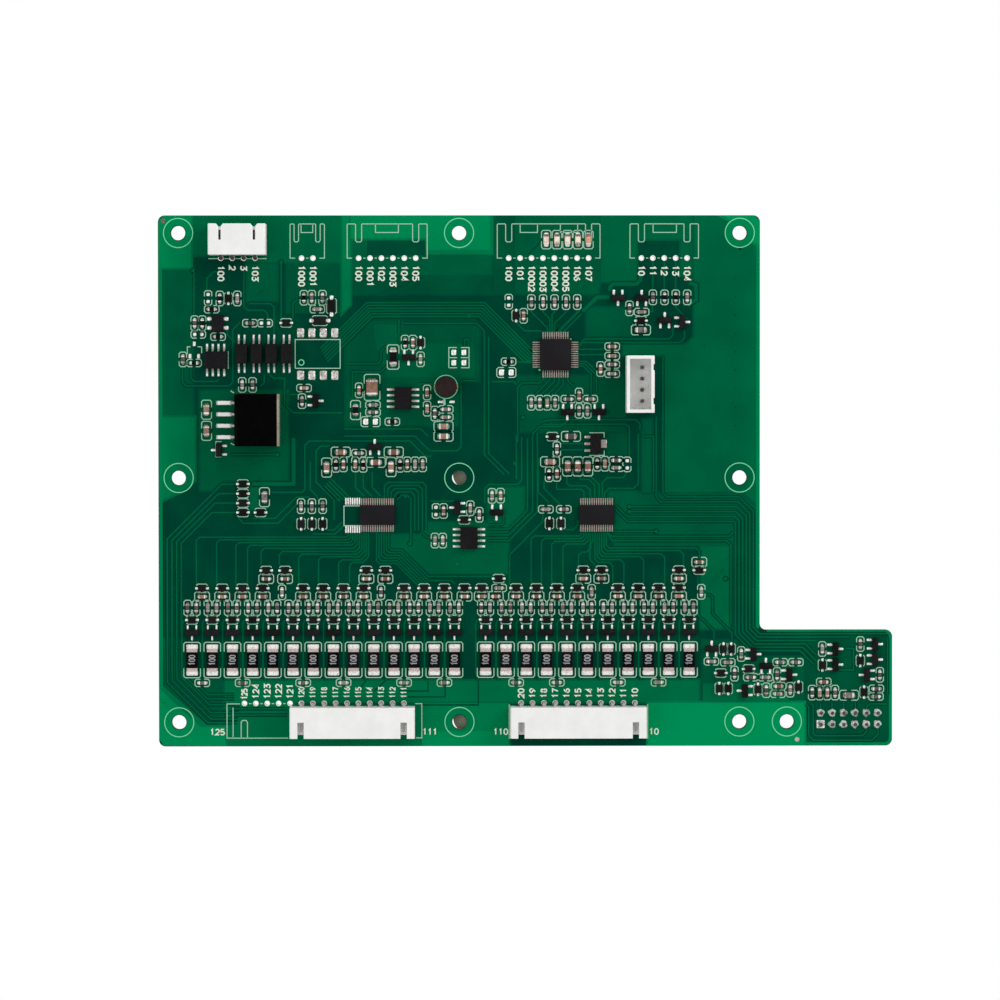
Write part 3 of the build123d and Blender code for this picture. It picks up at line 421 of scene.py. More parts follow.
class Slot(Enum):
    """Material slots of the record. Each cast names one, which the cast does not use."""

    MASK = "solder_mask"
    NYLON = "white_nylon"
    TIN = "tinned_pin"
    EPOXY = "black_epoxy"
    CASE = "black_case"
    STRIP = "potting_strip"
    RESISTOR = "black_resistor"
    CERAMIC = "tan_ceramic"
    LAMP = "lamp_lens"
    FERRITE = "dark_ferrite"
    WIRE = "copper_winding"


Colour = tuple[float, float, float]


def written(code: str) -> Colour:
    """Turn a colour written as six hexadecimal digits into the linear values that shaders take."""
    shares = [int(code[index:index + 2], 16) / 255 for index in (0, 2, 4)]
    return tuple(s / 12.92 if s <= 0.04045 else ((s + 0.055) / 1.055) ** 2.4 for s in shares)


def add_node(tree: bpy.types.NodeTree, kind: str, *feeds: Socket,
             **settings: object) -> bpy.types.Node:
    """Add a shader node.

    Args:
        tree: where to add it.
        kind: its type.
        feeds: outputs that drive its first inputs, in order.
        settings: its properties.

    Returns:
        The node.
    """
    made = tree.nodes.new(kind)
    for key, value in settings.items():
        setattr(made, key, value)
    for index, feed in enumerate(feeds):
        tree.links.new(feed, made.inputs[index])
    return made


def map_range(tree: bpy.types.NodeTree, factor: Socket,
              ends: tuple[float, float, float, float]) -> Socket:
    """Map a factor's range onto another: the four ends are low and high of each."""
    made = add_node(tree, "ShaderNodeMapRange", factor)
    for key, value in zip(("From Min", "From Max", "To Min", "To Max"), ends):
        made.inputs[key].default_value = value
    return made.outputs["Result"]


class Bench:
    """Lays out the nodes of one material."""

    def __init__(self, name: str) -> None:
        """Start a material with one main shader and object coordinates."""
        self.material = bpy.data.materials.new(name)
        self.material.use_nodes = True
        self.tree = self.material.node_tree
        self.shader = self.tree.nodes["Principled BSDF"]
        self.place = self.node("ShaderNodeTexCoord").outputs["Object"]

    def node(self, kind: str, *feeds: Socket, **settings: object) -> bpy.types.Node:
        """Add a node, fed by outputs in order, and set its properties."""
        return add_node(self.tree, kind, *feeds, **settings)

    def set(self, **values: object) -> None:
        """Set sockets of the main shader, named in lower case with underscores."""
        for key, value in values.items():
            socket = self.shader.inputs[key.replace("_", " ").title().replace("Ior", "IOR")]
            socket.default_value = (*value, 1.0) if isinstance(value, tuple) else value

    def noise(self, size: float, detail: float) -> Socket:
        """Cloudy noise whose patches are about a size in millimetres."""
        made = self.node("ShaderNodeTexNoise", self.place)
        made.inputs["Scale"].default_value = 1 / (size * MM)
        made.inputs["Detail"].default_value = detail
        return made.outputs["Fac"]

    def ramp(self, factor: Socket, low: float, high: float, first: Colour, last: Colour) -> Socket:
        """Fade from one colour to another as a factor goes from low to high."""
        made = self.node("ShaderNodeValToRGB", factor)
        for stop, place, colour in zip(made.color_ramp.elements, (low, high), (first, last)):
            stop.position = place
            stop.color = (*colour, 1.0)
        return made.outputs["Color"]

    def grade(self, factor: Socket, low: float, high: float, first: float, last: float) -> Socket:
        """Map a factor's range from low to high onto another range."""
        return map_range(self.tree, factor, (low, high, first, last))

    def sum(self, kind: str, first: Socket, last: Socket | float) -> Socket:
        """Join two values with one arithmetic step."""
        made = self.node("ShaderNodeMath", first, operation=kind)
        if isinstance(last, float):
            made.inputs[1].default_value = last
        else:
            self.tree.links.new(last, made.inputs[1])
        return made.outputs[0]

    def blend(self, factor: Socket, first: Socket | Colour, last: Socket | Colour) -> Socket:
        """Mix two colours by a factor."""
        made = self.node("ShaderNodeMix", factor, data_type="RGBA")
        for index, value in ((6, first), (7, last)):
            if isinstance(value, tuple):
                made.inputs[index].default_value = (*value, 1.0)
            else:
                self.tree.links.new(value, made.inputs[index])
        return made.outputs[2]

    def shade(self) -> Socket:
        """Each chip's own tone, from 0 to 1, kept with its corners."""
        return self.node("ShaderNodeAttribute", attribute_name="tone").outputs["Fac"]

    def bump(self, height: Socket, strength: float, depth: float) -> None:
        """Raise the surface by a height, up to a depth in millimetres."""
        made = self.node("ShaderNodeBump")
        made.inputs["Strength"].default_value = strength
        made.inputs["Distance"].default_value = depth * MM
        self.tree.links.new(height, made.inputs["Height"])
        self.tree.links.new(made.outputs["Normal"], self.shader.inputs["Normal"])

    def wire(self, output: Socket, name: str) -> None:
        """Drive a socket of the main shader."""
        self.tree.links.new(output, self.shader.inputs[name])


@dataclass(frozen=True)
class MaskFinish:
    """Glossy green mask, with pale board edges.

    Each piece's own tone says how bright it is: 0 over bare laminate and up to 1 over broad copper.
    Towards the board's edges the tone counts for more: the pours there are real, and the extra gain
    on them is painted sheen.

    Attributes:
        name: name of the material.
        deep: colour over bare laminate.
        bright: colour over the brightest copper.
        edge: colour of the board's upright edges.
        gloss: strength of the mirror-like share.
        rim_sheen_gain: how much more a tone counts at the board's edges.
    """

    name: str
    deep: Colour = written("003c2c")
    bright: Colour = written("008c54")
    edge: Colour = written("8f9a62")
    gloss: float = 0.0
    rim_sheen_gain: float = 1.35

    def build(self) -> Material:
        """Make the material."""
        bench = Bench(self.name)
        axes = bench.node("ShaderNodeSeparateXYZ", bench.place)
        x = bench.sum("ABSOLUTE", axes.outputs[0], 0.0)
        y = bench.sum("ABSOLUTE", axes.outputs[1], 0.0)
        # Painted sheen: the copper's tone gains weight towards the board's edges, brightening the
        # mask there.
        across = bench.grade(x, 61 * MM, 67 * MM, 1.0, self.rim_sheen_gain)
        along = bench.grade(y, 43 * MM, 58 * MM, 1.0, self.rim_sheen_gain)
        share = bench.sum("MULTIPLY", bench.sum("MAXIMUM", across, along), bench.shade())
        cloud = bench.grade(bench.noise(9.0, 4.0), 0.3, 0.7, -0.04, 0.07)
        factor = bench.sum("ADD", share, cloud)
        colour = bench.blend(factor, self.deep, self.bright)
        surface = bench.node("ShaderNodeNewGeometry")
        normal = bench.node("ShaderNodeSeparateXYZ", surface.outputs["True Normal"])
        steep = bench.sum("LESS_THAN", bench.sum("ABSOLUTE", normal.outputs[2], 0.0), 0.5)
        bench.wire(bench.blend(steep, colour, self.edge), "Base Color")
        bench.wire(bench.grade(bench.noise(2.5, 5.0), 0.3, 0.7, 0.34, 0.44), "Roughness")
        bench.bump(bench.noise(0.45, 2.0), 0.12, 0.02)
        bench.set(specular_ior_level=self.gloss)
        return bench.material


@dataclass(frozen=True)
class SpeckledFinish:
    """Moulded, fired or printed surface with clouds, fine grain and a tone for each part.

    Attributes:
        name: name of the material.
        dark: darker colour.
        light: lighter colour.
        grain: size of the grain.
        rough: roughness.
        depth: depth of the grain.
        toned: whether each part's own tone moves its colour.
        coat: weight of a clear top coat.
        gloss: strength of the mirror-like share.
    """

    name: str
    dark: str
    light: str
    grain: float
    rough: float
    depth: float
    toned: bool = False
    coat: float = 0.0
    gloss: float = 0.3

    def build(self) -> Material:
        """Make the material."""
        bench = Bench(self.name)
        cloud = bench.noise(self.grain * 6, 4.0)
        if self.toned:
            share = bench.grade(bench.shade(), 0.0, 1.0, -0.35, 0.35)
            cloud = bench.sum("ADD", cloud, share)
        colour = bench.ramp(cloud, 0.25, 0.75, written(self.dark), written(self.light))
        bench.wire(colour, "Base Color")
        fine = bench.noise(self.grain, 2.0)
        bench.wire(bench.grade(fine, 0.3, 0.7, self.rough - 0.06, self.rough + 0.06), "Roughness")
        bench.bump(fine, 0.25, self.depth)
        bench.set(coat_weight=self.coat, coat_roughness=0.15, specular_ior_level=self.gloss)
        return bench.material


@dataclass(frozen=True)
class MetalFinish:
    """Tinned, gilt or bare metal, wavy as solder freezes, with a tone for each joint.

    Attributes:
        name: name of the material.
        dull: colour of its dull patches.
        clean: colour of its clean patches.
        rough: mean roughness.
        ripple: size of its ripples.
        depth: depth of its ripples.
        metal: how metallic it is, from 0 to 1.
    """

    name: str
    dull: str
    clean: str
    rough: float
    ripple: float
    depth: float
    metal: float = 0.9

    def build(self) -> Material:
        """Make the material."""
        bench = Bench(self.name)
        wave = bench.noise(self.ripple, 3.0)
        mixed = bench.sum("ADD", wave, bench.grade(bench.shade(), 0.0, 1.0, -0.3, 0.3))
        colour = bench.ramp(mixed, 0.3, 0.7, written(self.dull), written(self.clean))
        bench.wire(colour, "Base Color")
        patch = bench.noise(self.ripple * 3, 2.0)
        bench.wire(bench.grade(patch, 0.3, 0.7, self.rough - 0.1, self.rough + 0.12), "Roughness")
        bench.bump(wave, 0.35, self.depth)
        bench.set(metallic=self.metal)
        return bench.material


class Finishes:
    """All finishes of the board, each made once."""

    def __init__(self) -> None:
        """Make every material."""
        self.mask = MaskFinish("mask_on_laminate").build()
        self.copper = MaskFinish("mask_on_copper").build()
        self.print = SpeckledFinish("printed_lines", "74d4a2", "a8c2ae", 0.12, 0.6, 0.01,
                                    toned=True).build()
        self.text = SpeckledFinish("printed_numbers", "cdd6c6", "eef2e4", 0.12, 0.6, 0.01).build()
        self.ink = SpeckledFinish("marking_ink", "7c7c80", "a8a8aa", 0.12, 0.6, 0.01).build()
        self.nylon = SpeckledFinish("moulded_nylon", "e9eae7", "f4f4f1", 0.5, 0.36, 0.012).build()
        self.epoxy = SpeckledFinish("moulded_epoxy", "0a090b", "171518", 0.08, 0.5, 0.02,
                                    toned=True, gloss=0.1).build()
        self.case = SpeckledFinish("potted_case", "010101", "050506", 0.3, 0.3, 0.01,
                                   gloss=0.02).build()
        self.strip = SpeckledFinish("potting_edge", "837c6d", "a8a18f", 0.2, 0.6, 0.03).build()
        self.film = SpeckledFinish("resistor_film", "4a4143", "8d8480", 0.1, 0.35, 0.01, toned=True,
                                   gloss=0.2).build()
        self.black_film = SpeckledFinish("black_film", "050506", "121114", 0.15, 0.3, 0.01,
                                         toned=True, gloss=0.04).build()
        self.ceramic = SpeckledFinish("fired_ceramic", "745040", "a07c66", 0.12, 0.45, 0.01,
                                      toned=True, gloss=0.2).build()
        self.lens = SpeckledFinish("lamp_lens", "c98a5c", "f3e6d2", 0.3, 0.25, 0.01, toned=True,
                                   coat=0.3).build()
        self.ferrite = SpeckledFinish("pressed_ferrite", "180d0e", "2c1b1a", 0.1, 0.5, 0.03,
                                      gloss=0.15).build()
        self.solder = MetalFinish("frozen_solder", "8f857c", "fbfaf6", 0.3, 0.4, 0.03, 0.4).build()
        # Header joints: the white patches are painted highlights and the dark green ones painted
        # reflections of the board, over the solder's own ripples.
        self.joint = MetalFinish("joints_with_painted_glints", "33463c", "ffffff", 0.3, 0.8, 0.06, 0.4).build()
        self.tin = MetalFinish("tinned_lead", "b9b6b1", "f0eeea", 0.34, 0.25, 0.012, 0.55).build()
        self.plate = MetalFinish("tinned_ends", "ab9a94", "d6c8c2", 0.4, 0.3, 0.012, 0.5).build()
        # Dull tin, also used for the painted shade in the middle of the socket pads.
        self.dull = MetalFinish("dull_tin_and_hole_shade", "453c35", "857769", 0.42, 0.3, 0.012, 0.4).build()
        self.gold = MetalFinish("gilt_pin", "b08a3c", "e4c675", 0.28, 0.5, 0.01).build()
        self.wire = MetalFinish("enamelled_wire", "5d2c17", "a5613a", 0.35, 0.3, 0.02, 0.6).build()


FINISH = Finishes()
# Bend in degrees below which neighbouring faces are shaded as one
SMOOTH_BEND = 38.0


class Casting:
    """Gathers closed shapes and casts them as one piece."""

    def __init__(self) -> None:
        """Start with nothing."""
        self.points: list[np.ndarray] = []
        self.faces: list[tuple[int, ...]] = []
        self.tones: list[np.ndarray] = []
        self.count = 0

    def add(self, shape: Shape, tone: float = 0.5) -> None:
        """Add one shape, with the tone that its finish may read."""
        self.points.append(shape.points)
        start = self.count
        self.faces += [tuple(corner + start for corner in face) for face in shape.faces]
        self.tones.append(np.full(len(shape.points), tone))
        self.count += len(shape.points)

    def cast(self, name: str, material: Material, slot: Slot,
             replaces: Sequence[str] = ()) -> None:
        """Make the piece, let it ride on the board and hide the nodes that it stands for.

        Args:
            name: name of the piece.
            material: its finish.
            slot: the record's material slot of that finish; not used.
            replaces: CAD nodes that it stands for.
        """
        mesh = bpy.data.meshes.new(name)
        points = np.concatenate(self.points) * MM
        mesh.from_pydata(points, [], self.faces)
        tone = mesh.attributes.new("tone", "FLOAT", "POINT")
        tone.data.foreach_set("value", np.concatenate(self.tones))
        mesh.shade_smooth()
        mesh.set_sharp_from_angle(angle=math.radians(SMOOTH_BEND))
        mesh.materials.append(material)
        mesh.update()
        piece = placed(name, mesh)
        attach(piece, BODY)
        if replaces:
            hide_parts(*replaces)
        LOG.info("%s: %d faces", name, len(self.faces))


def placed(name: str, data: bpy.types.ID) -> bpy.types.Object:
    """Put an object into the scene, at the origin."""
    made = bpy.data.objects.new(name, data)
    bpy.context.scene.collection.objects.link(made)
    return made


def dress(node: str, material: Material) -> None:
    """Give a CAD node that stays in view its finish."""
    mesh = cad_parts[node].data
    mesh.materials.clear()
    mesh.materials.append(material)


def soften(node: str, material: Material, edge: float) -> None:
    """Replace a CAD node by its own shape with small rounded edges.

    The node's loose triangles are merged and joined into flat faces, and a bevel rounds its edges.

    Args:
        node: name of the CAD node.
        material: finish of the piece.
        edge: width of the rounded edge.
    """
    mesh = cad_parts[node].data.copy()
    shell = bmesh.new()
    shell.from_mesh(mesh)
    bmesh.ops.remove_doubles(shell, verts=shell.verts, dist=1e-6)
    bmesh.ops.dissolve_limit(shell, angle_limit=math.radians(1), verts=shell.verts,
                             edges=shell.edges)
    shell.to_mesh(mesh)
    shell.free()
    mesh.materials.clear()
    mesh.materials.append(material)
    piece = placed(f"soft_{node}", mesh)
    bevel = piece.modifiers.new("rounded_edges", "BEVEL")
    bevel.width = edge * MM
    bevel.segments = 2
    bevel.limit_method = "ANGLE"
    bevel.angle_limit = math.radians(40)
    mesh.shade_smooth()
    mesh.set_sharp_from_angle(angle=math.radians(30))
    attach(piece, BODY)
    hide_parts(node)
    LOG.info("%s: softened", node)


# Paths drawn as text


def trace(text: str) -> Path:
    """Read a path.

    Args:
        text: one word for each point, its x and y with a comma between them. A value that is left
            out stays what it was at the point before.

    Returns:
        The points of the path.
    """
    found = []
    x = y = "0"
    for word in text.split():
        first, _, second = word.partition(",")
        x, y = first or x, second or y
        found.append((float(x), float(y)))
    return found


def traces(text: str) -> list[Path]:
    """Read several paths, with a semicolon after each but the last."""
    return [trace(part) for part in text.split(";")]


def toned(text: str) -> list[tuple[float, Path]]:
    """Read several outlines, each with its tone and a colon before it."""
    parts = [part.split(":") for part in text.split(";")]
    return [(float(tone), trace(path)) for tone, path in parts]


# Copper under the mask


UPPER_ROW = 48.9
LOWER_ROW = -50.3
LOWER_FIRST = -47.95
PITCH = 2.54
UPPER_SOCKETS = ((-35.05, 2), (-22.35, 6), (11.05, 8), (40.6, 5))
MOUNTS = [(x, y) for x in (-62.5, 0.0, 62.5) for y in (-54.5, 0.0, 54.5)] + [(73.1, -54.5)]
MOUNT_RADIUS = 1.75
PIN_HOLE_RADIUS = 0.55
# Level of the monitors' lower pads, where the fans of routes start
PAD_ROW = -12.3

# Copper pours on the component side, lighter patches on them, and narrow dark gaps between them.
# A row is one path
POURS = toned("""
0.6: -66.9,46.8 ,57.2 -65.7,58.3 -59.6 ,46.8;
0.25: -59.5,49.5 ,58.3 -26.2 ,48 -47.4 ,49.5;
0.12: -38.6,36.6 ,47.9 -26.2 ,36.6;
0.2: -47.2,39.5 ,47.8 -40.6 ,39.5;
0.16: -66.9,13.6 ,46.7 -59.4 ,13.6;
0.43: -66.9,-5.2 ,13.5 -58.9 ,-0.6 -61.2,-2.6;
0.19: -57.6,-2.6 ,19.4 -38.2 ,-0.5 -53 -55.1,-2.6;
0.28: -46.6,-7 ,-2.2 -44.9 ,-6.4;
0.52: -26,36.8 ,58.3 -24.2 ,38.6;
0.64: -24.1,53.3 ,58.3 7.2 ,50.2 -7.4 ,53.3;
0.12: -24.1,40.9 ,45.1 7.2 ,40.9;
0.2: -24.1,45.2 ,53.2 -7.5 ,50.1 7.2 ,45.2;
0.12: 7.7,41 ,58.3 12.4 ,41;
0.18: 12.5,41 ,58.3 31.5 ,43.7 30.8,41;
0.24: 31.6,43.7 ,58.3 52.3 ,53.1 39.5 ,43.7;
0.2: 49.4,45 ,53 52.3 ,45;
0.13: -25.2,11.7 ,29 -19.3,34.9 3.6 4.4,34.1 ,21.6 -0.2 ,11.7;
0.17: 28.4,31.6 ,37.8 38.2 ,31.6;
0.27: 45.8,-3.2 ,27.4 36.6 ,29.6 50.6 52.4,31.4 ,58.3 65.7 66.9,57.2 ,-6.6 63.4,-3.2;
0.9: 66.9,51.8 ,57.2 65.7,58.3 58.9 60.2,57.4 61.9,57.8 63.1 64.2,57.4 65,56.7 65.6,55.7 65.8,54.5
  65.6,53.4 65.2,52.6;
0.2: 34.8,-15.2 ,-4.4 33.5 ,-3.2 39.5 39.8,-3.5 62.4 66.9,-7.4 ,-33.6 61.4 ,-15.2;
0.2: 40.9,-3.3 ,12.9 42.9 ,-3.3;
0.33: 53.9,-33.6 ,-15.4 60.1 ,-33.6;
0.24: -15.4,-15.7 ,-12.8 -8.5 -6.8,-10 6.4 ,-2.3 14.3 ,-8.2 10.9,-11.4 ,-21.4 -6.6 -12.5,-15.7;
0.16: -66,-48 ,-36 -61.6 ,-44.9 -52.5 ,-55.4 -57.6;
0.62: -65.8,-59.75 -66.9,-58.3 ,-47 -57.7,-55.5 -52.2 ,-59.75;
0.38: -52.3,-51.1 ,-45.3 53.4 ,-50.2 -36.6 ,-51.1;
0.3: -52.1,-59.75 ,-51.2 -36.5 ,-50.3 -8.5 ,-59.75;
0.48: -8.4,-59.75 ,-50.3 11 ,-59.75;
0.8: 42.1,-59.75 ,-50.3 77 ,-59.75;
0.1: 77.1,-59.1 ,-34.6 95.8 ,-59.1;
0.16: 54.3,-50.1 ,-36.4 61.4 65.2,-40.2 77 ,-50.1;
0.14: 13,10.3 ,22.6 29 36.8 ,10.3;
0.12: 33.2,5.2 ,10.2 37.3 ,5.2
""")
PATCHES = toned("""
0.45: -7.4,49.7 ,50.7 6.8 ,58.3 7.6 ,49.7;
0.2: -16.2,22.4 -18.9,31 ,34.2 -13.9 ,29.9 3.4 ,22.4;
0.6: -8.4,-59.75 ,-56.6 11 ,-59.75;
0.33: 54.3,-50.1 ,-46 70 74,-50.1;
0.4: -66.9,-45.6 -55.9,-55.6 -57.7 -66.9,-47;
0.55: 66.2,-33.6 ,51.7 66.9 ,-33.6;
0.5: -66.9,-47 ,46.7 -66.1 ,-47;
0.6: 95.9,-58 ,-36 96.5 ,-58;
0.55: 77.1,-59.75 ,-59.2 95.1 ,-59.82;
0.45: 68.6,-34.5 ,-34.05 95.1 ,-34.5;
0.52: 95.1,-34.5 ,-34.08 95.64,-34.19 96.1,-34.5 96.41,-34.96 96.5,-36 95.9 95.8,-35;
0.57: 95.1,-59.2 ,-59.82 95.64,-59.71 96.1,-59.4 96.41,-58.94 96.5,-58 95.9 95.8,-58.8
""")
CUTS = traces("""
-7,-45.3 ,-47.6 -13.5;
-3.2,-46.2 ,-48.9 -11.5;
4.2,-45.3 ,-50.7 -8.5;
-16.5,-45.3 -19,-47.5;
-20.8,-45.3 -23,-47.8;
15.5,49.8 18.5,52.8
""")
# Routes of the right side and the tab, of the isolated section and the left side, between the upper
# sockets, the drivers and the controller, and round the monitors
RIGHT_ROUTES = traces("""
33.2,-12.4 34,-13.1 60.2 61.2,-12.1;
33,-12.4 34.1,-14.1 59.6 60.6,-15.1 ,-32.6;
34.6,-12 43.8;
77.3,-50.6 78,-51.3 ,-57.7 79,-58.7 92.2 93.5,-57.4 ,-56.1;
78.6,-50.5 79,-50.9 ,-57.1 79.6,-57.7 90 90.9,-56.8 ,-56.1;
80.6,-50.4 ,-51.8;
83.2,-50.4 ,-51.8;
85.8,-50 ,-51.8;
88.4,-50 ,-51.8;
90.9,-51.9 ,-51.3 91.6,-50.6 95.4;
95.6,-36 ,-48.6;
86.4,-38.2 88 ,-43 84.6
""")
LEFT_ROUTES = traces("""
-49.5,-8.6 -48.1,-10.1 -40.4 -36.2,-5.9;
-46,-9 -41 -36.3,-4.3 -33.4;
-42,-3.2 -35 -34.4,-2.6 ,7.2 -33.4,8.2 -11 -7.6,4.8 -6.2;
-33.2,3.6 ,-2.6 -31.6,-4.2 ,-5;
-28.9,7.1 -30.8 -31.9,6 ,-0.9 -27.9,-4.9 ,-9.4;
-29.4,-11.6 -27.9 -26.1,-9.8;
-32.8,-12.5 -27.6 -25.8,-10.7;
-51,5.2 -40.6;
-61.6,24.8 ,21.3 -60.8,20.5 -51.2 -50.4,21.3 ,33 -48.8,34.6;
-59.7,24.8 ,22.2 -59,21.5 -54 -53.5,22;
-59,46.2 ,36.2;
-56.1,41.8 ,44.4 -54.6,45.9 -53;
-47.9,46.2 ,38.2 -47,37.3 -43.4 -42.6,36.5 ,35.2;
-46.8,38.8 -42 -41.2,38 ,32;
-39.6,47.8 ,35.4;
-37,35.4 ,38.8 -36.2,39.6 -35.4;
-42.4,23.2 -41.4,22.2 -38.9 ,16.4 -37,14.5 -26;
-43.4,23 ,21.2 -44.2,20.4;
-35,18.6 -38;
-49.9,30.2 -51.6,31.9 ,33.6;
-60.9,-44.6 -56.2,-49.3 -50.2;
-59.8,-44.7 -56.2,-48.3 -50.2;
-50.9,-51.5 -38.4;
-50.9,-52.9 -38.4
""")
UPPER_ROUTES = traces("""
22.7,32.4 ,33 26.8,37.1;
23.2,32.4 25.9,35.1 27.3,36.5;
26.6,29.6 27.9,30.9 46.8 47.6,31.7 ,33.6;
26.6,29.1 27.6,30.1 49.2 50.2,31.1 ,32.8;
26.6,28.6 31.8 32.6,29.2;
26.6,27.4 32.6;
26.5,25.9 28.4 30.9,23.4;
26.5,25.4 28 30.6,22.8 ,19;
26.5,24.9 27.6 29.4,23.1 ,18.6;
24.2,22.4 ,21.6 25.8,20;
23.2,22.4 ,20.6 21.4,18.8 ,17.8;
22.2,22.4 ,21 19.6,18.4;
21.2,22.4 ,21.4 18,18.2;
20.2,22.4 ,21.8 16.4,18;
19.2,22.4 17.9,21.1 14 13,20.1 ,8;
12.4,25.8 16.2;
12.7,34.6 14.6,32.7 18.4;
48.2,38.9 ,38 51,35.2;
43.1,38.9 ,37 42.2,36.9;
-13.4,31.9 ,35.2;
43.14,48 ,41.4;
45.68,48 ,41.4;
48.22,48 ,41.4;
-12.6,34.4 3.9 5.6,32.7 ,5.1 10,0.7;
6.6,31.4 ,5.4 11.2,0.8;
-23.8,18 ,23.6 -17.4 -15.2,25.8;
-25,25.4 -18.2 -17.4,26.2 ,28.2 -16.2,29.4;
-9,20.9 -6.2;
1.2,29.2 ,30.8 2.1 ,29.2;
0.4,20.6 ,6.9 -0.5,6 -6.6 -9.9,9.3 -25.6;
-25.6,10.9 -8.6 -6.9,9.2;
1,21.6 4.2;
7.2,21.4 12.2 12.9,20.7
""")
MIDDLE_ROUTES = traces("""
13.9,9 ,-0.6 13,-1.5 6.6 5.7,-2.4 ,-5.6;
12.7,9.4 ,-0.4;
11.2,-23.9 ,-17.2 18.6,-9.8 ,-8.2;
16.2,9.6 18,11.4 22.8 24.2,12.8;
18.2,12.4 20,12.9 39.4 40.3,12 ,10.6;
18.6,11.9 37.2 37.9,11.2 ,4.6;
39.9,9.8 ,-1.4 38.9,-2.4 33.4 32.4,-3.4 ,-4.4;
41.2,9.2 43.3 ,-3.2;
17.6,4.4 ,-3.2 20,-5.6;
18.9,-0.8 ,-2.4 22.4,-5.9;
24,0.4 ,-1.2 24.6,-1.8 28.2 29.2,-2.8 ,-4.4;
26.4,0.4 27.2,-0.4 28.9 30.2,-1.7 ,-4.4;
28.6,0.4 29.6,0 31.2,-1.6 ,-4.4;
37.4,1.2 36.6,0 33 31.9,-1.1 ,-4.4;
21.7,-1.2 ,-2.6 27.2 27.8,-3.2 ,-4.4;
23.6,-11.6 25.4 26.4,-10.6 ,-9.4;
22.5,6.2 27.6;
22.6,7.6 27.6;
-6.4,-13.3 -7.2 -8.2,-12.3;
-1.2,-5.2 -6.4;
9.9,-8.6 ,-10 9.4,-10.5 6.4;
53.2,-21.8 ,-30.6 56.8,-34.2 ,-36.2;
54.8,-26.2 56 56.5,-26.7 ,-30.4 60.8,-34.7 ,-36.4
""")
# Wide routes of the supply and the output drivers, and middles of the masked vias
THICK_ROUTES = traces("""
-46.2,-1.35 -36.9 ,8.9;
50.9,38.4 52.8,39.6 ,42.9 51.2,43.4;
33.6,41.6 ,42.4 34.3,43.1 39.5 40.4,44 ,46.6;
27.5,37 30.8,40.2 33.6
""")
VIAS = trace("""
-11,-14.7 37.9,-6.5 ,-7.6 43.9,-12 -40.5,5.2 -12,-4.1 -59.2,46.2 -39.6,48 14.2,13.4 12.4,3.2 2.2,36
  59.4,-22.6
""")


def open_holes() -> list[tuple[float, float, float]]:
    """Centre and radius of every hole that stays open, a little wider than in the board."""
    pins = [(first + PITCH * index, UPPER_ROW) for first, count in UPPER_SOCKETS
            for index in range(count)]
    pins += [(LOWER_FIRST + PITCH * index, LOWER_ROW) for index in range(5)]
    return [(*place, MOUNT_RADIUS) for place in MOUNTS] + [(*pin, PIN_HOLE_RADIUS) for pin in pins]


def bus(path: Path, count: int, pitch: float) -> list[Path]:
    """Parallel routes: the first follows the path and the others lie beside it, at equal steps.

    Args:
        path: the first route.
        count: number of routes.
        pitch: distance between neighbours, to the left of the path, or to its right where negative.

    Returns:
        The routes.
    """
    side = 1 if pitch > 0 else 0
    found = [path]
    for index in range(1, count):
        sides = ribbon(path, 2 * abs(index * pitch), 0.0, 1.0).points.reshape(len(path), 4, 3)
        found.append([(x, y) for x, y, _ in sides[:, side].tolist()])
    return found


def riser(column: float, foot: float, level: float, pad: float, rise: float) -> Path:
    """A route that climbs out of a cell column, runs level and climbs to a monitor's pad.

    Args:
        column: x of its foot.
        foot: y of its foot.
        level: y of its level run.
        pad: x of the pad.
        rise: size of its last bend.

    Returns:
        The points of the route.
    """
    bend = 0.7
    return [(column, foot), (column, level - bend), (column + bend, level), (pad - rise, level),
            (pad, level + rise), (pad, PAD_ROW)]


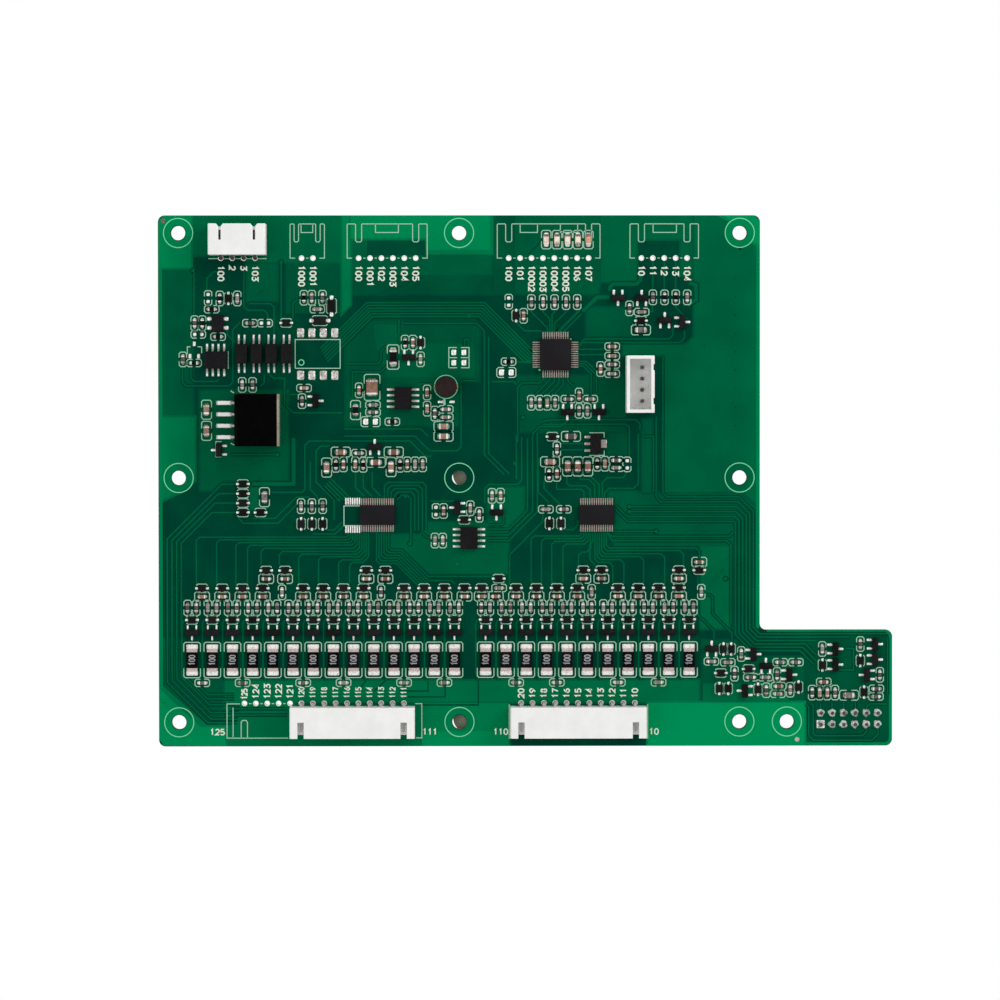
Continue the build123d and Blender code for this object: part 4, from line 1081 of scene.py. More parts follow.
@dataclass
class CopperLayer:
    """Copper pours, routes and vias, seen through the green mask.

    Each height is above the board's upper face. A route in a pour has a dark gap on both sides,
    which is a wider dark strip under the route. Neighbours differ by a hair's breadth in height, so
    that no two faces share one plane.
    """

    pour_height: float = 0.003
    pour_step: float = 0.0004
    halo: float = 0.45
    halo_tone: float = 0.6
    gap_height: float = 0.018
    gap_width: float = 0.85
    thick_gap: float = 1.4
    cut_width: float = 0.35
    cut_tone: float = 0.05
    route_height: float = 0.03
    route_width: float = 0.3
    thick_width: float = 0.8
    route_tone: float = 0.27
    via_radius: float = 0.42
    moat: float = 0.28
    seat: float = 0.02
    step: float = 0.0006
    gaps: Casting = field(default_factory=Casting)
    routes: Casting = field(default_factory=Casting)

    def left_fan(self) -> list[Path]:
        """Routes from the left monitor's lower pads to the cell columns left of it."""
        drops = [(-13.2, -58.6, -24.0), (-13.8, -54.1, -24.0), (-14.4, -49.8, -24.0),
                 (-15.0, -47.2, -24.0), (-15.7, -44.2, -19.5), (-16.4, -40.1, -19.5),
                 (-17.0, -35.8, -24.0), (-17.6, -31.4, -24.0), (-18.3, -26.9, -23.6),
                 (-18.9, -24.5, -23.6)]
        return [riser(column, foot, level, -24.75 + 0.5 * index, 0.4 + 0.1 * index)
                for index, (level, column, foot) in enumerate(drops)]

    def middle_fan(self) -> list[Path]:
        """Routes from the left monitor's lower right pads to the cell columns right of it."""
        paths = []
        for index in range(6):
            level = -16.1 - 0.6 * index
            pad = -15.7 - 0.55 * index
            bend = -12.9 - 0.24 * index
            reach = min(5.9 + 0.3 * index, 7.0)
            paths.append([(pad, PAD_ROW), (pad, level + 0.6), (pad + 0.6, level), (bend, level),
                          (bend + reach, level - reach)])
        paths[0] += trace("7.2,-22")
        paths[1] += trace("-1.8,-22.9 -1,-23.7")
        return paths

    def right_fans(self) -> list[Path]:
        """Routes from the right monitor's lower pads to the cell columns on both sides."""
        left = [(-13.0, 16.0), (-13.6, 18.3), (-14.2, 20.6), (-14.8, 23.1), (-16.6, 26.6)]
        right = [(-15.7, 53.6, -18.0), (-16.3, 50.0, -19.6), (-17.0, 45.8, -23.8),
                 (-17.6, 41.1, -23.8), (-18.3, 36.7, -23.8), (-18.9, 34.2, -23.4)]
        paths = [riser(column, -24.0, level, 27.25 + 0.5 * index, 0.5 + 0.1 * index)
                 for index, (level, column) in enumerate(left)]
        for index, (level, column, foot) in enumerate(right):
            pad = 32.75 - 0.5 * index
            paths.append([(pad, PAD_ROW), (pad, level + 0.7), (pad + 0.7, level),
                          (column - 0.8, level), (column, level - 0.8), (column, foot)])
        return paths + traces("29.75,-12.3 ,-14.3 29.1,-15 ,-18.3 30.4,-19.6")

    def right_bus(self) -> list[Path]:
        """Routes along the board's right side, from the middle to the tab."""
        starts = [("45.4,27 ,-3.4", 46.3), ("43.9,13.6 ,-4.2", 44.8), ("", 37.9), ("", 37.9),
                  ("34.9,-6.2 36.9,-8.2", 37.8), ("34.9,-7.2 36.6,-8.9", 37.5)]
        ends = traces("95.6,-34.9; 87,-35.65; 79.6,-36.4; 77.2,-37.15 79.6,-39.55;"
                      "76.6,-37.9 79.6,-40.9; 76,-38.65 79,-41.65")
        paths = []
        for index, ((start, first), end) in enumerate(zip(starts, ends)):
            level = -4.3 - 1.1 * index
            column = 65.6 - 0.8 * index
            corner = 62.4 - 0.25 * index
            foot = -33.4 - 0.35 * index
            tab = -34.9 - 0.75 * index
            paths.append([*trace(start), (first, level), (corner, level),
                          (column, level - column + corner), (column, foot),
                          (column + foot - tab, tab), *end])
        return paths + RIGHT_ROUTES

    def left_side(self) -> list[Path]:
        """Routes of the isolated section and the board's left side."""
        paths = []
        for index, end in enumerate((54.6, 53.8, 52.3, 50.6)):
            level = -1.4 - 2.1 * index
            start = -52.9 - 0.73 * index
            column = -65.1 + 1.05 * index
            turn = 45.6 - 0.4 * index
            paths.append([(-50.0, level), (start, level), (column, level - start + column),
                          (column, -turn), (column + end - turn, -end),
                          (-49.6 + 0.2 * index, -end)])
        return paths + LEFT_ROUTES

    def upper_side(self) -> list[Path]:
        """Routes between the upper sockets, the drivers and the controller."""
        paths = []
        for index in range(6):
            level = 35.9 + 0.62 * index
            bend = 4.4 + 0.257 * index
            pad = 25.65 + 0.5 * index
            paths.append([(-29.4 - 0.3 * index, 25.8 + 0.6 * index),
                          (-19.3 - 0.257 * index, level), (bend, level), (bend + level - pad, pad),
                          (16.4, pad)])
        for index, column in enumerate((16.1, 18.7, 21.25, 23.8, 26.3)):
            pad = 19.7 + 0.5 * index
            paths.append([(column, 37.6), (column, 36.9), (pad, 36.9 - abs(column - pad)),
                          (pad, 32.4)])
        return paths + UPPER_ROUTES

    def middle(self) -> list[Path]:
        """Routes round the two monitors and the driver between them."""
        paths = []
        for index in range(5):
            left = -16.7 + 0.75 * index
            top = -1.0 - 0.72 * index
            right = -7.4 - 0.85 * index
            foot = -11.8 if index < 4 else -14.6
            paths.append([(left, -4.4), (left, top - 0.8), (left + 0.8, top), (right - 0.8, top),
                          (right, top - 0.8), (right, foot)])
        paths += bus(trace("-28.6,-0.2 -24.6,-4.2 ,-4.6"), 4, -0.72)
        paths += [[(column, 1.4), (column, -2.2), (column + 1.9, -4.1)]
                  for column in (-23.1, -21.4, -19.4)]
        for index in range(3):
            level = -11.45 - 1.3 * index
            column = 15.2 + 1.1 * index
            paths.append([(6.2, level), (11.0, level), (column, level + column - 11.0),
                          (column, 8.8 + 0.6 * index)])
        return paths + MIDDLE_ROUTES

    def cell_columns(self) -> list[Path]:
        """Short routes inside each cell column, hung on its balancing resistor."""
        shapes = traces("-0.95,10.8 ,8.2; 0.95,10.8 ,8.2; 0,4.4 ,3.2;"
                        "-1.9,8.9 -2.2,8 ,-3 -1.6,-4.6")
        middles = [block.centre for block in blocks_of("balance_resistors")]
        return [[(x + u, y + v) for u, v in shape] for x, y in middles for shape in shapes]

    def holes_in(self, edge: np.ndarray) -> list[np.ndarray]:
        """Outlines of the open holes whose middles lie in an outline."""
        return [circle(radius, 24) + (x, y) for x, y, radius in open_holes()
                if inside((x, y), edge)]

    def cuts_hole(self, edge: np.ndarray) -> bool:
        """Whether an outline crosses an open hole, so that only some of its points lie inside."""
        for x, y, radius in open_holes():
            rim = circle(radius * 1.03, 16) + (x, y)
            if len({inside((u, v), edge) for u, v in rim.tolist()}) == 2:
                return True
        return False

    def cast_pours(self) -> None:
        """Cast the pours, darker ones lowest, each with a dimmer rim, and the patches on them."""
        pours = Casting()
        plain = sorted(POURS, key=lambda pour: pour[0])
        low = BOARD_TOP - self.seat
        for index, (tone, corners) in enumerate(plain + PATCHES):
            flat = np.array(corners, dtype=float)
            after = np.roll(flat, -1, axis=0)
            if np.sum(flat[:, 0] * after[:, 1] - flat[:, 1] * after[:, 0]) < 0:
                flat = flat[::-1]
            height = BOARD_TOP + self.pour_height + self.pour_step * index
            pours.add(plate(flat, self.holes_in(flat), low, height), tone)
            rim = on_board(grown(flat, self.halo))
            if index < len(plain) and not self.cuts_hole(rim):
                pours.add(plate(rim, self.holes_in(rim), low, height - self.pour_step / 2),
                          tone * self.halo_tone)
        ring = washer(MOUNT_RADIUS, 3.15, -self.seat, self.gap_height - self.pour_step, 32)
        upper_right = MOUNTS[8]
        pours.add(ring.moved(*upper_right, BOARD_TOP), self.halo_tone)
        pours.cast("copper_pours", FINISH.copper, Slot.MASK)

    def gap(self, path: Path, width: float, rise: float = 0.0, tone: float = 0.0) -> None:
        """Add a dark strip, raised by a hair's breadth."""
        height = BOARD_TOP + rise + self.gap_height
        self.gaps.add(ribbon(path, width, BOARD_TOP - self.seat, height), tone)

    def route(self, path: Path, width: float, rise: float) -> None:
        """Add a bright strip, raised by a hair's breadth."""
        height = BOARD_TOP + rise + self.route_height
        self.routes.add(ribbon(path, width, BOARD_TOP - self.seat, height), self.route_tone)

    def dot(self, x: float, y: float, radius: float, tone: float, crown: float, sides: int) -> None:
        """Add a bright disc, its crown narrower and at a share of a route's height."""
        shape = lathe([radius, radius, radius * 0.7],
                      [-self.seat, self.route_height * 0.8, self.route_height * crown], sides)
        self.routes.add(shape.moved(x, y, BOARD_TOP), tone)

    def build(self) -> None:
        """Cast the pours, the gaps, the routes, the vias and the small specks in the mask."""
        self.cast_pours()
        paths = (self.left_fan() + self.middle_fan() + self.right_fans() + self.right_bus()
                 + self.left_side() + self.upper_side() + self.middle() + self.cell_columns())
        cycle = 12
        for index, path in enumerate(paths):
            rise = self.step * (index % cycle)
            self.gap(path, self.gap_width, rise)
            self.route(path, self.route_width, rise)
        for index, path in enumerate(THICK_ROUTES, cycle + 1):
            self.gap(path, self.thick_gap, self.step * index)
            self.route(path, self.thick_width, self.step * index)
        self.gap(trace("-20.5,51.15 -7.5"), 3.3, tone=self.cut_tone)
        for path in CUTS:
            self.gap(path, self.cut_width, tone=self.cut_tone)
        specks = [(61.5, 44.4 - 4.1 * index, 0.2, 0.1) for index in range(9)]
        specks += [(54.6, 29.3, 0.2, 0.05), (62.55, 51.05, 0.42, -1.0), (-0.5, -19.2, 0.22, 0.6)]
        for speck in specks:
            self.dot(*speck, 1.0, 8)
        for x, y in VIAS:
            self.dot(x, y, self.via_radius, self.route_tone, 1.2, 10)
            moat = lathe([self.via_radius + self.moat] * 2, [-self.seat, self.gap_height], 12)
            self.gaps.add(moat.moved(x, y, BOARD_TOP), 0.0)
        self.gaps.cast("mask_gaps", FINISH.mask, Slot.MASK)
        self.routes.cast("copper_routes", FINISH.copper, Slot.MASK)


# Printed lines


# Strokes of the figures from 0 to 9, each in a box of height 1
STROKES = traces("""
0.2,0 0,0.25 ,0.75 0.2,1 0.45 0.65,0.75 ,0.25 0.45,0 0.2;
0.12,0.78 0.35,1 ,0;
0,0.78 0.18,1 0.45 0.65,0.8 0.62,0.55 0,0 0.65;
0,1 0.65 0.3,0.6 0.5 0.65,0.42 ,0.2 0.45,0 0.15 0,0.18;
0.5,0 ,1 0,0.32 0.68;
0.62,1 0.08 0.04,0.58 0.42,0.6 0.65,0.4 ,0.2 0.45,0 0.15 0,0.16;
0.55,1 0.2,0.75 0,0.4 ,0.2 0.2,0 0.45 0.65,0.2 ,0.38 0.45,0.55 0.04,0.5;
0,1 0.65 0.22,0;
0.32,0.54 0.08,0.7 ,0.88 0.22,1 0.43 0.57,0.88 ,0.7 0.32,0.54 0.05,0.36 ,0.14 0.2,0 0.45 0.6,0.14
  ,0.36 0.32,0.54;
0.1,0 0.45,0.25 0.65,0.6 ,0.8 0.45,1 0.2 0,0.8 ,0.62 0.2,0.45 0.61,0.5
""")
# Outlines beside the sockets and round the larger parts
SOCKET_LINES = traces("""
-55.75,48.8 -42.85;
-49,-50.4 -51.85 ,-58.05 -38.2;
-50.5,-51.2 ,-57.8;
-48.7,-58 ,-54.5 -48.4,-54.1 -47.6 -47.3,-54.5 ,-58;
-9.9,-50.4 -8.4 ,-58.05 -9.7;
11.1,-50.6 ,-58.3;
42,-50.6 ,-58.3
""")
PART_LINES = traces("""
-21.9,-6.25 -25.7 ,-10.65 -21.9;
-36.5,24.4 ,30.8 -26.5 ,24.4 -36.5;
29,10 32.3 ,8.9; 29,4.95 32.3 ,6.05;
-50.1,18.9 -50.9,19.4; -50.1,7.3 -50.9,7.8;
-52.9,8.1 -54.2 ,4.7 -52.9;
-57.3,29.2 ,27.8; -60.5,27.6 ,29.2 -59.8; -58.2,29.2 -57.4;
-51.4,24.3 ,28.2;
-2.3,24.5 ,29 -0.5; 0.4,29 2.2 ,24.5 0.4; -0.5,24.5 -2.3; -2.3,26.75 -0.5; 0.4,26.75 2.2
""")

SMALL_DIODES = ("gate_diodes", "filter_diodes", "signal_diodes", "tab_diodes")
SMALL_PARTS = ("supply_resistors", "driver_resistors", "controller_resistors",
               "monitor_resistors", "tab_resistors")
# Length, width and arm of the brackets round a small and a large chip part
SMALL_FRAME = (3.25, 1.65, 1.25)
LARGE_FRAME = (4.25, 2.2, 1.6)
# Pads that carry no part: x, y, turn and whether they are of the large size
EMPTY_PADS = [
    (-55.85, 40.05, 90, False), (-58.05, 31.95, 0, False), (-43.2, 34.45, 0, False),
    (-5.2, -7.4, 90, False), (37.45, 2.95, 90, False), (11.05, 39.2, 90, False),
    (-19.75, 12.5, 0, True), (10.5, 23.45, 0, True),
]


@dataclass
class PrintedLayer:
    """White lines and plain numbers printed on the mask."""

    height: float = 0.04
    seat: float = 0.01
    line: float = 0.2
    line_tone: float = 0.75
    cut: float = 0.35
    casting: Casting = field(default_factory=Casting)
    figures: Casting = field(default_factory=Casting)

    def ink(self, path: Path, width: float) -> Shape:
        """The low strip of one printed line."""
        return ribbon(path, width, BOARD_TOP - self.seat, BOARD_TOP + self.height)

    def draw(self, path: Path, x: float = 0.0, y: float = 0.0, turn: float = 0.0,
             width: float | None = None) -> None:
        """Print one line, turned and shifted to its place."""
        shape = self.ink(path, width or self.line)
        self.casting.add(shape.moved(x, y, 0.0, turn), self.line_tone)

    def draw_all(self, paths: Sequence[Path]) -> None:
        """Print every line of a drawing."""
        for path in paths:
            self.draw(path)

    def frame_ends(self, x: float, y: float, turn: float, length: float, width: float,
                   arm: float) -> None:
        """Print the two brackets that hold the ends of a part.

        Args:
            x: middle of the part.
            y: middle of the part.
            turn: angle of the part's long side.
            length: outer size along the part.
            width: outer size across the part.
            arm: length of each bracket's arms.
        """
        end = length / 2
        side = width / 2
        cut = self.cut
        bracket = [(end - arm, -side), (end - cut, -side), (end, cut - side), (end, side - cut),
                   (end - cut, side), (end - arm, side)]
        for way in (1, -1):
            self.draw([(way * u, v) for u, v in bracket], x, y, turn)

    def frame_sides(self, x: float, y: float, turn: float, length: float, width: float) -> None:
        """Print the two lines beside a small diode, their ends bent inwards."""
        end = length / 2
        side = width / 2
        line = [(-end, side - 0.3), (self.cut - end, side), (end - self.cut, side),
                (end, side - 0.3)]
        for way in (1, -1):
            self.draw([(u, way * v) for u, v in line], x, y, turn)

    def ring(self, x: float, y: float, radius: float, width: float, sides: int = 48) -> None:
        """Print a ring."""
        shape = washer(radius - width / 2, radius + width / 2, -self.seat, self.height, sides)
        self.casting.add(shape.moved(x, y, BOARD_TOP), 0.0)

    def number(self, text: str, x: float, y: float, size: float, turn: float = 0.0,
               width: float = 0.3, squeeze: float = 1.0) -> None:
        """Print a plain number.

        Args:
            text: its digits.
            x: middle of the number.
            y: middle of the number.
            size: height of a digit.
            turn: angle of its base line.
            width: width of the stroke.
            squeeze: share that narrows the digits along the base line.
        """
        step = 0.95 * size * squeeze
        total = step * (len(text) - 1) + 0.65 * size * squeeze
        for index, digit in enumerate(text):
            path = [(u * size * squeeze + index * step - total / 2, (v - 0.5) * size)
                    for u, v in STROKES[int(digit)]]
            self.figures.add(self.ink(path, width).moved(x, y, 0.0, turn))

    def mounting_rings(self) -> None:
        """Rings round the mounting holes."""
        for x, y in MOUNTS:
            self.ring(x, y, 3.25, 0.2)

    def part_frames(self) -> None:
        """Frames of the chip parts and diodes, from the frame's own places."""
        chips = {
            "gate_resistors": (3.4, 1.65, 1.3), "filter_capacitors": (3.3, 2.1, 1.3),
            "link_resistors": (3.25, 1.65, 1.2), **dict.fromkeys(SMALL_PARTS, SMALL_FRAME),
            "small_capacitors": SMALL_FRAME, "large_resistors": LARGE_FRAME,
            "large_capacitors": LARGE_FRAME, "shunt_resistor": (5.4, 2.6, 1.9),
            "bulk_capacitor": (5.8, 3.5, 2.1), "indicator_lamps": (4.1, 2.1, 1.7),
            "balance_resistors": (7.9, 3.7, 2.1),
        }
        for node, size in chips.items():
            for block in blocks_of(node):
                self.frame_ends(*block.centre, block.turn, *size)
        for node in SMALL_DIODES:
            for block in blocks_of(node):
                self.frame_sides(*block.centre, block.turn, 2.5, 1.9)
        for block in blocks_of("supply_diode_bodies"):
            if block.size[1] < 3:
                self.frame_sides(*block.centre, block.turn, 3.4, 2.2)

    def socket_outline(self, first: float, count: int, slots: tuple[float, float], half: float,
                       inner: Sequence[tuple[float, float]]) -> None:
        """Print the outline of an empty socket of the upper row, in one line with its latch slots.

        Args:
            first: x of its first pin.
            count: number of its pins.
            slots: x of its two latch slots.
            half: half the width of a slot.
            inner: left and right ends of the small rectangles at the mouth.
        """
        end = 2.55
        left = first - end
        right = first + PITCH * (count - 1) + end
        mouth = UPPER_ROW + 7.6
        low = mouth - 4.0
        path = [(left + 1.1, UPPER_ROW), (left, UPPER_ROW), (left, mouth - 0.2),
                (left + 0.2, mouth)]
        latch = [(half + 0.15, mouth), (half, mouth - 0.15), (half, low + 0.3), (half - 0.3, low)]
        for x in slots:
            path += [(x - u, v) for u, v in latch] + [(x + u, v) for u, v in latch[::-1]]
        path += [(right - 0.2, mouth), (right, mouth - 0.2), (right, UPPER_ROW),
                 (right - 1.1, UPPER_ROW)]
        self.draw(path)
        deep = mouth - 1.9
        for start, stop in inner:
            self.draw([(start, mouth), (start, deep), (stop, deep), (stop, mouth)])
        for index in range(count - 1):
            middle = first + PITCH * (index + 0.5)
            self.draw([(middle - 0.25, UPPER_ROW), (middle + 0.25, UPPER_ROW)])

    def socket_outlines(self) -> None:
        """Outlines of the empty sockets along the upper edge and of the lower row."""
        details = (((-36.2, -31.4), 0.5, [(-35.15, -32.55)]),
                   ((-22.35, -9.65), 0.68, [(-18.6, -13.5)]),
                   ((11.05, 28.83), 0.68, [(13.6, 17.45), (22.55, 26.4)]),
                   ((40.6, 50.76), 0.68, [(43.2, 48.4)]))
        for (first, count), detail in zip(UPPER_SOCKETS, details):
            self.socket_outline(first, count, *detail)
        self.draw_all(SOCKET_LINES)
        for index in range(4):
            start = LOWER_FIRST + PITCH * index
            self.draw([(start + 1.0, -50.35), (start + 1.55, -50.35)])

    def chip_marks(self) -> None:
        """Outlines and pin marks of the larger parts."""
        for x, y in ((24.8, 30.8), (17.9, 24.0)):
            self.ring(x, y, 0.12, 0.22, 8)
        self.draw_all(PART_LINES)
        self.ring(-35.15, 25.7, 0.6, 0.22, 16)
        self.ring(-2.95, 20.25, 2.6, 0.2, 40)
        self.draw(trace("-3.3,17.6 ,16.2"), width=0.5)

    def empty_frames(self) -> None:
        """Frames of chip parts that were left out."""
        for x, y, turn, large in EMPTY_PADS:
            self.frame_ends(x, y, turn, *(LARGE_FRAME if large else SMALL_FRAME))

    def numbers(self) -> None:
        """Plain numbers beside the pins."""
        for index, block in enumerate(blocks_of("left_cell_socket_pins")):
            self.number(str(120 - index), block.centre[0], -47.9, 1.1, 90, 0.24, 0.8)
        for index in range(5):
            first = index == 0
            self.number(str(125 - index), LOWER_FIRST + PITCH * index,
                        -48.2 if first else -47.6, 1.15 if first else 1.25, 90, 0.28,
                        0.75 if first else 0.95)
        for index, block in enumerate(blocks_of("right_cell_socket_pins")):
            self.number(str(20 - index), block.centre[0], -48.1, 1.2, 90, 0.28)
        for text, x in (("125", -54.0), ("111", -6.6), ("110", 9.2), ("10", 43.4)):
            self.number(text, x, -56.7, 1.2, width=0.26)
        rows = ((-53.0, (3, 1, 1, 3)), (-35.05, (4, 4)), (-22.35, (3, 4, 3, 4, 3, 3)),
                (11.05, (3, 3, 5, 5, 5, 5, 3, 3)), (40.6, (2, 2, 2, 2, 3)))
        for first, lengths in rows:
            for index, digits in enumerate(lengths):
                plain = str(10 ** (digits - 1) + index)
                run = 1.18 * (digits - 1) + 0.8
                self.number(plain, first + PITCH * index, 47.1 - run / 2, 1.25, -90, 0.3)

    def build(self) -> None:
        """Print everything and cast it."""
        self.mounting_rings()
        self.part_frames()
        self.socket_outlines()
        self.chip_marks()
        self.empty_frames()
        self.numbers()
        self.casting.cast("printed_lines", FINISH.print, Slot.NYLON)
        self.figures.cast("printed_numbers", FINISH.text, Slot.NYLON)


# Solder


@dataclass
class Solder:
    """Pads, fillets and cones of solder, cast as one piece, and the tinned ends of chip parts."""

    pad_height: float = 0.03
    seat: float = 0.01
    casting: Casting = field(default_factory=Casting)
    caps: Casting = field(default_factory=Casting)
    chance: np.random.Generator = field(default_factory=lambda: np.random.default_rng(29))

    def tone(self) -> float:
        """A chance tone, so that no two joints are equally bright."""
        return float(self.chance.uniform(0.25, 1.0))

    def pad(self, x: float, y: float, length: float, width: float, turn: float = 0.0,
            crown: float = 0.1, corner: float = 0.12, tone: float = 0.8) -> None:
        """A low cushion of solder on a bare pad.

        Args:
            x: middle of the pad.
            y: middle of the pad.
            length: size along its own X.
            width: size across.
            turn: angle of its own X.
            crown: height of the cushion.
            corner: corner radius.
            tone: brightness of the solder, from 0 to 1.
        """
        base = outline(length, width, corner, 2)
        shape = stack([base, base, outline(length * 0.8, width * 0.8, corner * 0.8, 2)],
                      [-self.seat, self.pad_height, crown])
        self.casting.add(shape.moved(x, y, BOARD_TOP, turn), tone)

    def chip_ends(self, block: Block, height: float, wrap: float, reach: float) -> None:
        """The metal ends of a chip part with their fillets down to the pads.

        Args:
            block: box of the part.
            height: height of the ends.
            wrap: how far the metal wraps along the part.
            reach: how far each pad reaches beyond the part's end.
        """
        half = block.long / 2
        cap = outline(wrap, block.short + 0.02, 0.05, 1, half - wrap / 2 + 0.01)
        end = stack([cap, cap], [0.02, height + 0.012])
        levels = [(-self.seat, 1.0), (self.pad_height, 1.0), (height * 0.4, 0.55),
                  (height * 0.85, 0.14), (height + 0.04, -0.02)]
        across = block.short * 0.85
        outlines = []
        for _, share in levels:
            run = wrap + reach * share
            corner = min(0.3, 0.42 * min(run, across))
            outlines.append(outline(run, across, corner, 2, half - wrap + run / 2))
        fillet = stack(outlines, [level for level, _ in levels])
        for turn in (block.turn, block.turn + 180):
            self.caps.add(end.moved(*block.centre, BOARD_TOP, turn))
            self.casting.add(fillet.moved(*block.centre, BOARD_TOP, turn), self.tone())

    def foot(self, x: float, y: float, turn: float, length: float, width: float,
             height: float = 0.22) -> None:
        """A rounded heap of solder over a lead's foot, its middle at x and y."""
        corner = 0.3 * min(length, width)
        base = outline(length, width, corner, 2)
        outlines = [base, base, outline(length * 0.86, width * 0.82, corner * 0.8, 2),
                    outline(length * 0.55, width * 0.45, corner * 0.4, 2)]
        shape = stack(outlines, [-self.seat, self.pad_height, height * 0.65, height])
        self.casting.add(shape.moved(x, y, BOARD_TOP, turn), 0.6 + 0.4 * self.tone())

    def cone(self, x: float, y: float, radius: float, height: float, tip: float) -> None:
        """Solder on a tail under the board: a bell whose radius shrinks quickly, then slowly."""
        share = np.linspace(0, 1, 5)
        radii = tip + (radius - tip) * (1 - share) ** 2
        heights = self.pad_height + height * share
        shape = lathe([radius, *radii.tolist()], [-self.seat, *heights.tolist()], 12)
        self.casting.add(shape.moved(x, y, BOARD_TOP).under_board())

    def barrel(self, x: float, y: float, hole: float, ring: float) -> None:
        """Plating of an open hole: a tube through the board with a ring on both faces."""
        rise = self.pad_height
        inner = hole - 0.05
        outer = hole + ring
        wall = hole - 0.02
        profile = [(inner, -rise), (outer, -rise), (outer, 0.0), (wall, 0.0), (wall, BOARD_TOP),
                   (outer, BOARD_TOP), (outer, BOARD_TOP + rise), (inner, BOARD_TOP + rise)]
        self.casting.add(revolved(profile, 12, 0.5).moved(x, y), 1.0)


SOLDER = Solder()


# Chip parts


# Places of the resistors whose film is black
BLACK_FILMS = trace("""
-53.25,39.95 -55.05,37.55 -57.15,34.45 -53.65,31.45 -59,25.6 -34.55,40.1 -12.05,30.1 -14.9,12.5
  11,25.85 45.75,40.15 48.25 -27.5,2.9 -21.4 -13.2 20,0.75 30.75,3.1 -23.1,15.1
""")


@dataclass
class ChipParts:
    """Chip resistors, capacitors and lamps, rebuilt with rounded edges and soldered metal ends.

    Attributes:
        nodes: CAD nodes of the parts.
        name: name of the cast piece.
        wrap: how far the metal ends wrap along each part.
        reach: how far the solder reaches beyond each end.
        edge: radius of the block's edges.
    """

    nodes: Sequence[str]
    name: str
    wrap: float
    reach: float
    edge: float

    def block(self, size: Block) -> Shape:
        """The fired block: a rounded outline that shrinks a little at its upper edge."""
        height = size.size[2]
        length = size.long - 0.06
        width = size.short - 0.04
        base = outline(length, width, self.edge)
        top = outline(length - self.edge, width - self.edge, self.edge)
        return stack([base, base, top], [0.0, height - self.edge / 2, height])

    def build(self, material: Material, slot: Slot, seed: int) -> None:
        """Cast the blocks and solder their ends."""
        tones = np.random.default_rng(seed)
        casting = Casting()
        black = Casting()
        for node in self.nodes:
            for block in blocks_of(node):
                x, y = block.centre
                shape = self.block(block).seated(block)
                dark = any(math.hypot(x - u, y - v) < 0.5 for u, v in BLACK_FILMS)
                (black if dark else casting).add(shape, float(tones.random()))
                SOLDER.chip_ends(block, block.size[2], self.wrap, self.reach)
        casting.cast(self.name, material, slot, self.nodes)
        if black.count:
            black.cast(f"{self.name}_black", FINISH.black_film, slot)


def build_chip_parts() -> None:
    """Cast every group of chip parts."""
    small = ["gate_resistors", "link_resistors", *SMALL_PARTS, "large_resistors"]
    ChipParts(small, "film_resistors", 0.3, 0.36, 0.05).build(FINISH.film, Slot.RESISTOR, 3)
    ChipParts(["filter_capacitors", "small_capacitors"], "ceramic_capacitors", 0.32, 0.36,
              0.1).build(FINISH.ceramic, Slot.CERAMIC, 5)
    ChipParts(["large_capacitors", "bulk_capacitor"], "large_ceramic_capacitors", 0.42, 0.36,
              0.14).build(FINISH.ceramic, Slot.CERAMIC, 7)
    ChipParts(["shunt_resistor"], "black_shunt", 0.5, 0.5,
              0.06).build(FINISH.black_film, Slot.RESISTOR, 9)


@dataclass
class BalancingResistors:
    """The bank's large resistors: a black film between tinned ends, with a plain number."""

    end: float = 0.72
    edge: float = 0.06
    number: str = "100"

    def build(self) -> None:
        """Cast the films, the tinned ends and the numbers, and solder the ends."""
        films = Casting()
        ends = Casting()
        numbers = PrintedLayer()
        tones = np.random.default_rng(11)
        for block in blocks_of("balance_resistors"):
            x, y = block.centre
            height = block.size[2]
            film = outline(block.long - 2 * self.end, block.short - 0.06, 0.12, 2)
            shape = stack([film, film], [0.0, height])
            films.add(shape.seated(block), float(tones.random()))
            base = outline(block.long, block.short - 0.12, self.edge)
            top = outline(block.long - self.edge, block.short - 0.2, self.edge)
            shape = stack([base, base, top], [0.0, height - 0.1, height - 0.04])
            ends.add(shape.seated(block))
            for way in (0, 180):
                turn = block.turn + way
                SOLDER.pad(*ahead(x, y, turn, block.long / 2 + 0.42), 1.2, 2.55, turn, 0.28, 0.2)
            self.mark(numbers, x, y, BOARD_TOP + height, block.turn)
        films.cast("balancing_films", FINISH.black_film, Slot.RESISTOR, ["balance_resistors"])
        ends.cast("balancing_ends", FINISH.plate, Slot.TIN)
        numbers.figures.cast("balancing_numbers", FINISH.ink, Slot.NYLON)

    def mark(self, layer: PrintedLayer, x: float, y: float, height: float, turn: float) -> None:
        """Print the plain number on a film, above the board's own printing."""
        before = len(layer.figures.points)
        layer.number(self.number, x, y, 1.25, turn, 0.24, 0.66)
        rise = height - BOARD_TOP - layer.height + 0.03
        for index in range(before, len(layer.figures.points)):
            layer.figures.points[index] = layer.figures.points[index] + (0.0, 0.0, rise)


# Moulded parts


def moulded(block: Block, corner: float, shoulder: float, grow: float = 0.0) -> Shape:
    """A moulded case: widest at its parting line, narrowing up and down, with a rounded rim.

    Args:
        block: box of the CAD case.
        corner: radius of its upright corners.
        shoulder: how far the top lies inside the parting line.
        grow: how far the parting line stands out beyond the box.

    Returns:
        The case, lying along X, with its seat on the zero plane.
    """
    height = block.size[2]
    shrink = [shoulder, 0.0, 0.0, shoulder * 0.8, shoulder * 1.7]
    levels = [0.0, height * 0.48, height * 0.54, height - 0.06, height]
    outlines = [outline(block.long + 2 * (grow - s), block.short + 2 * (grow - s), corner, 2)
                for s in shrink]
    return stack(outlines, levels)


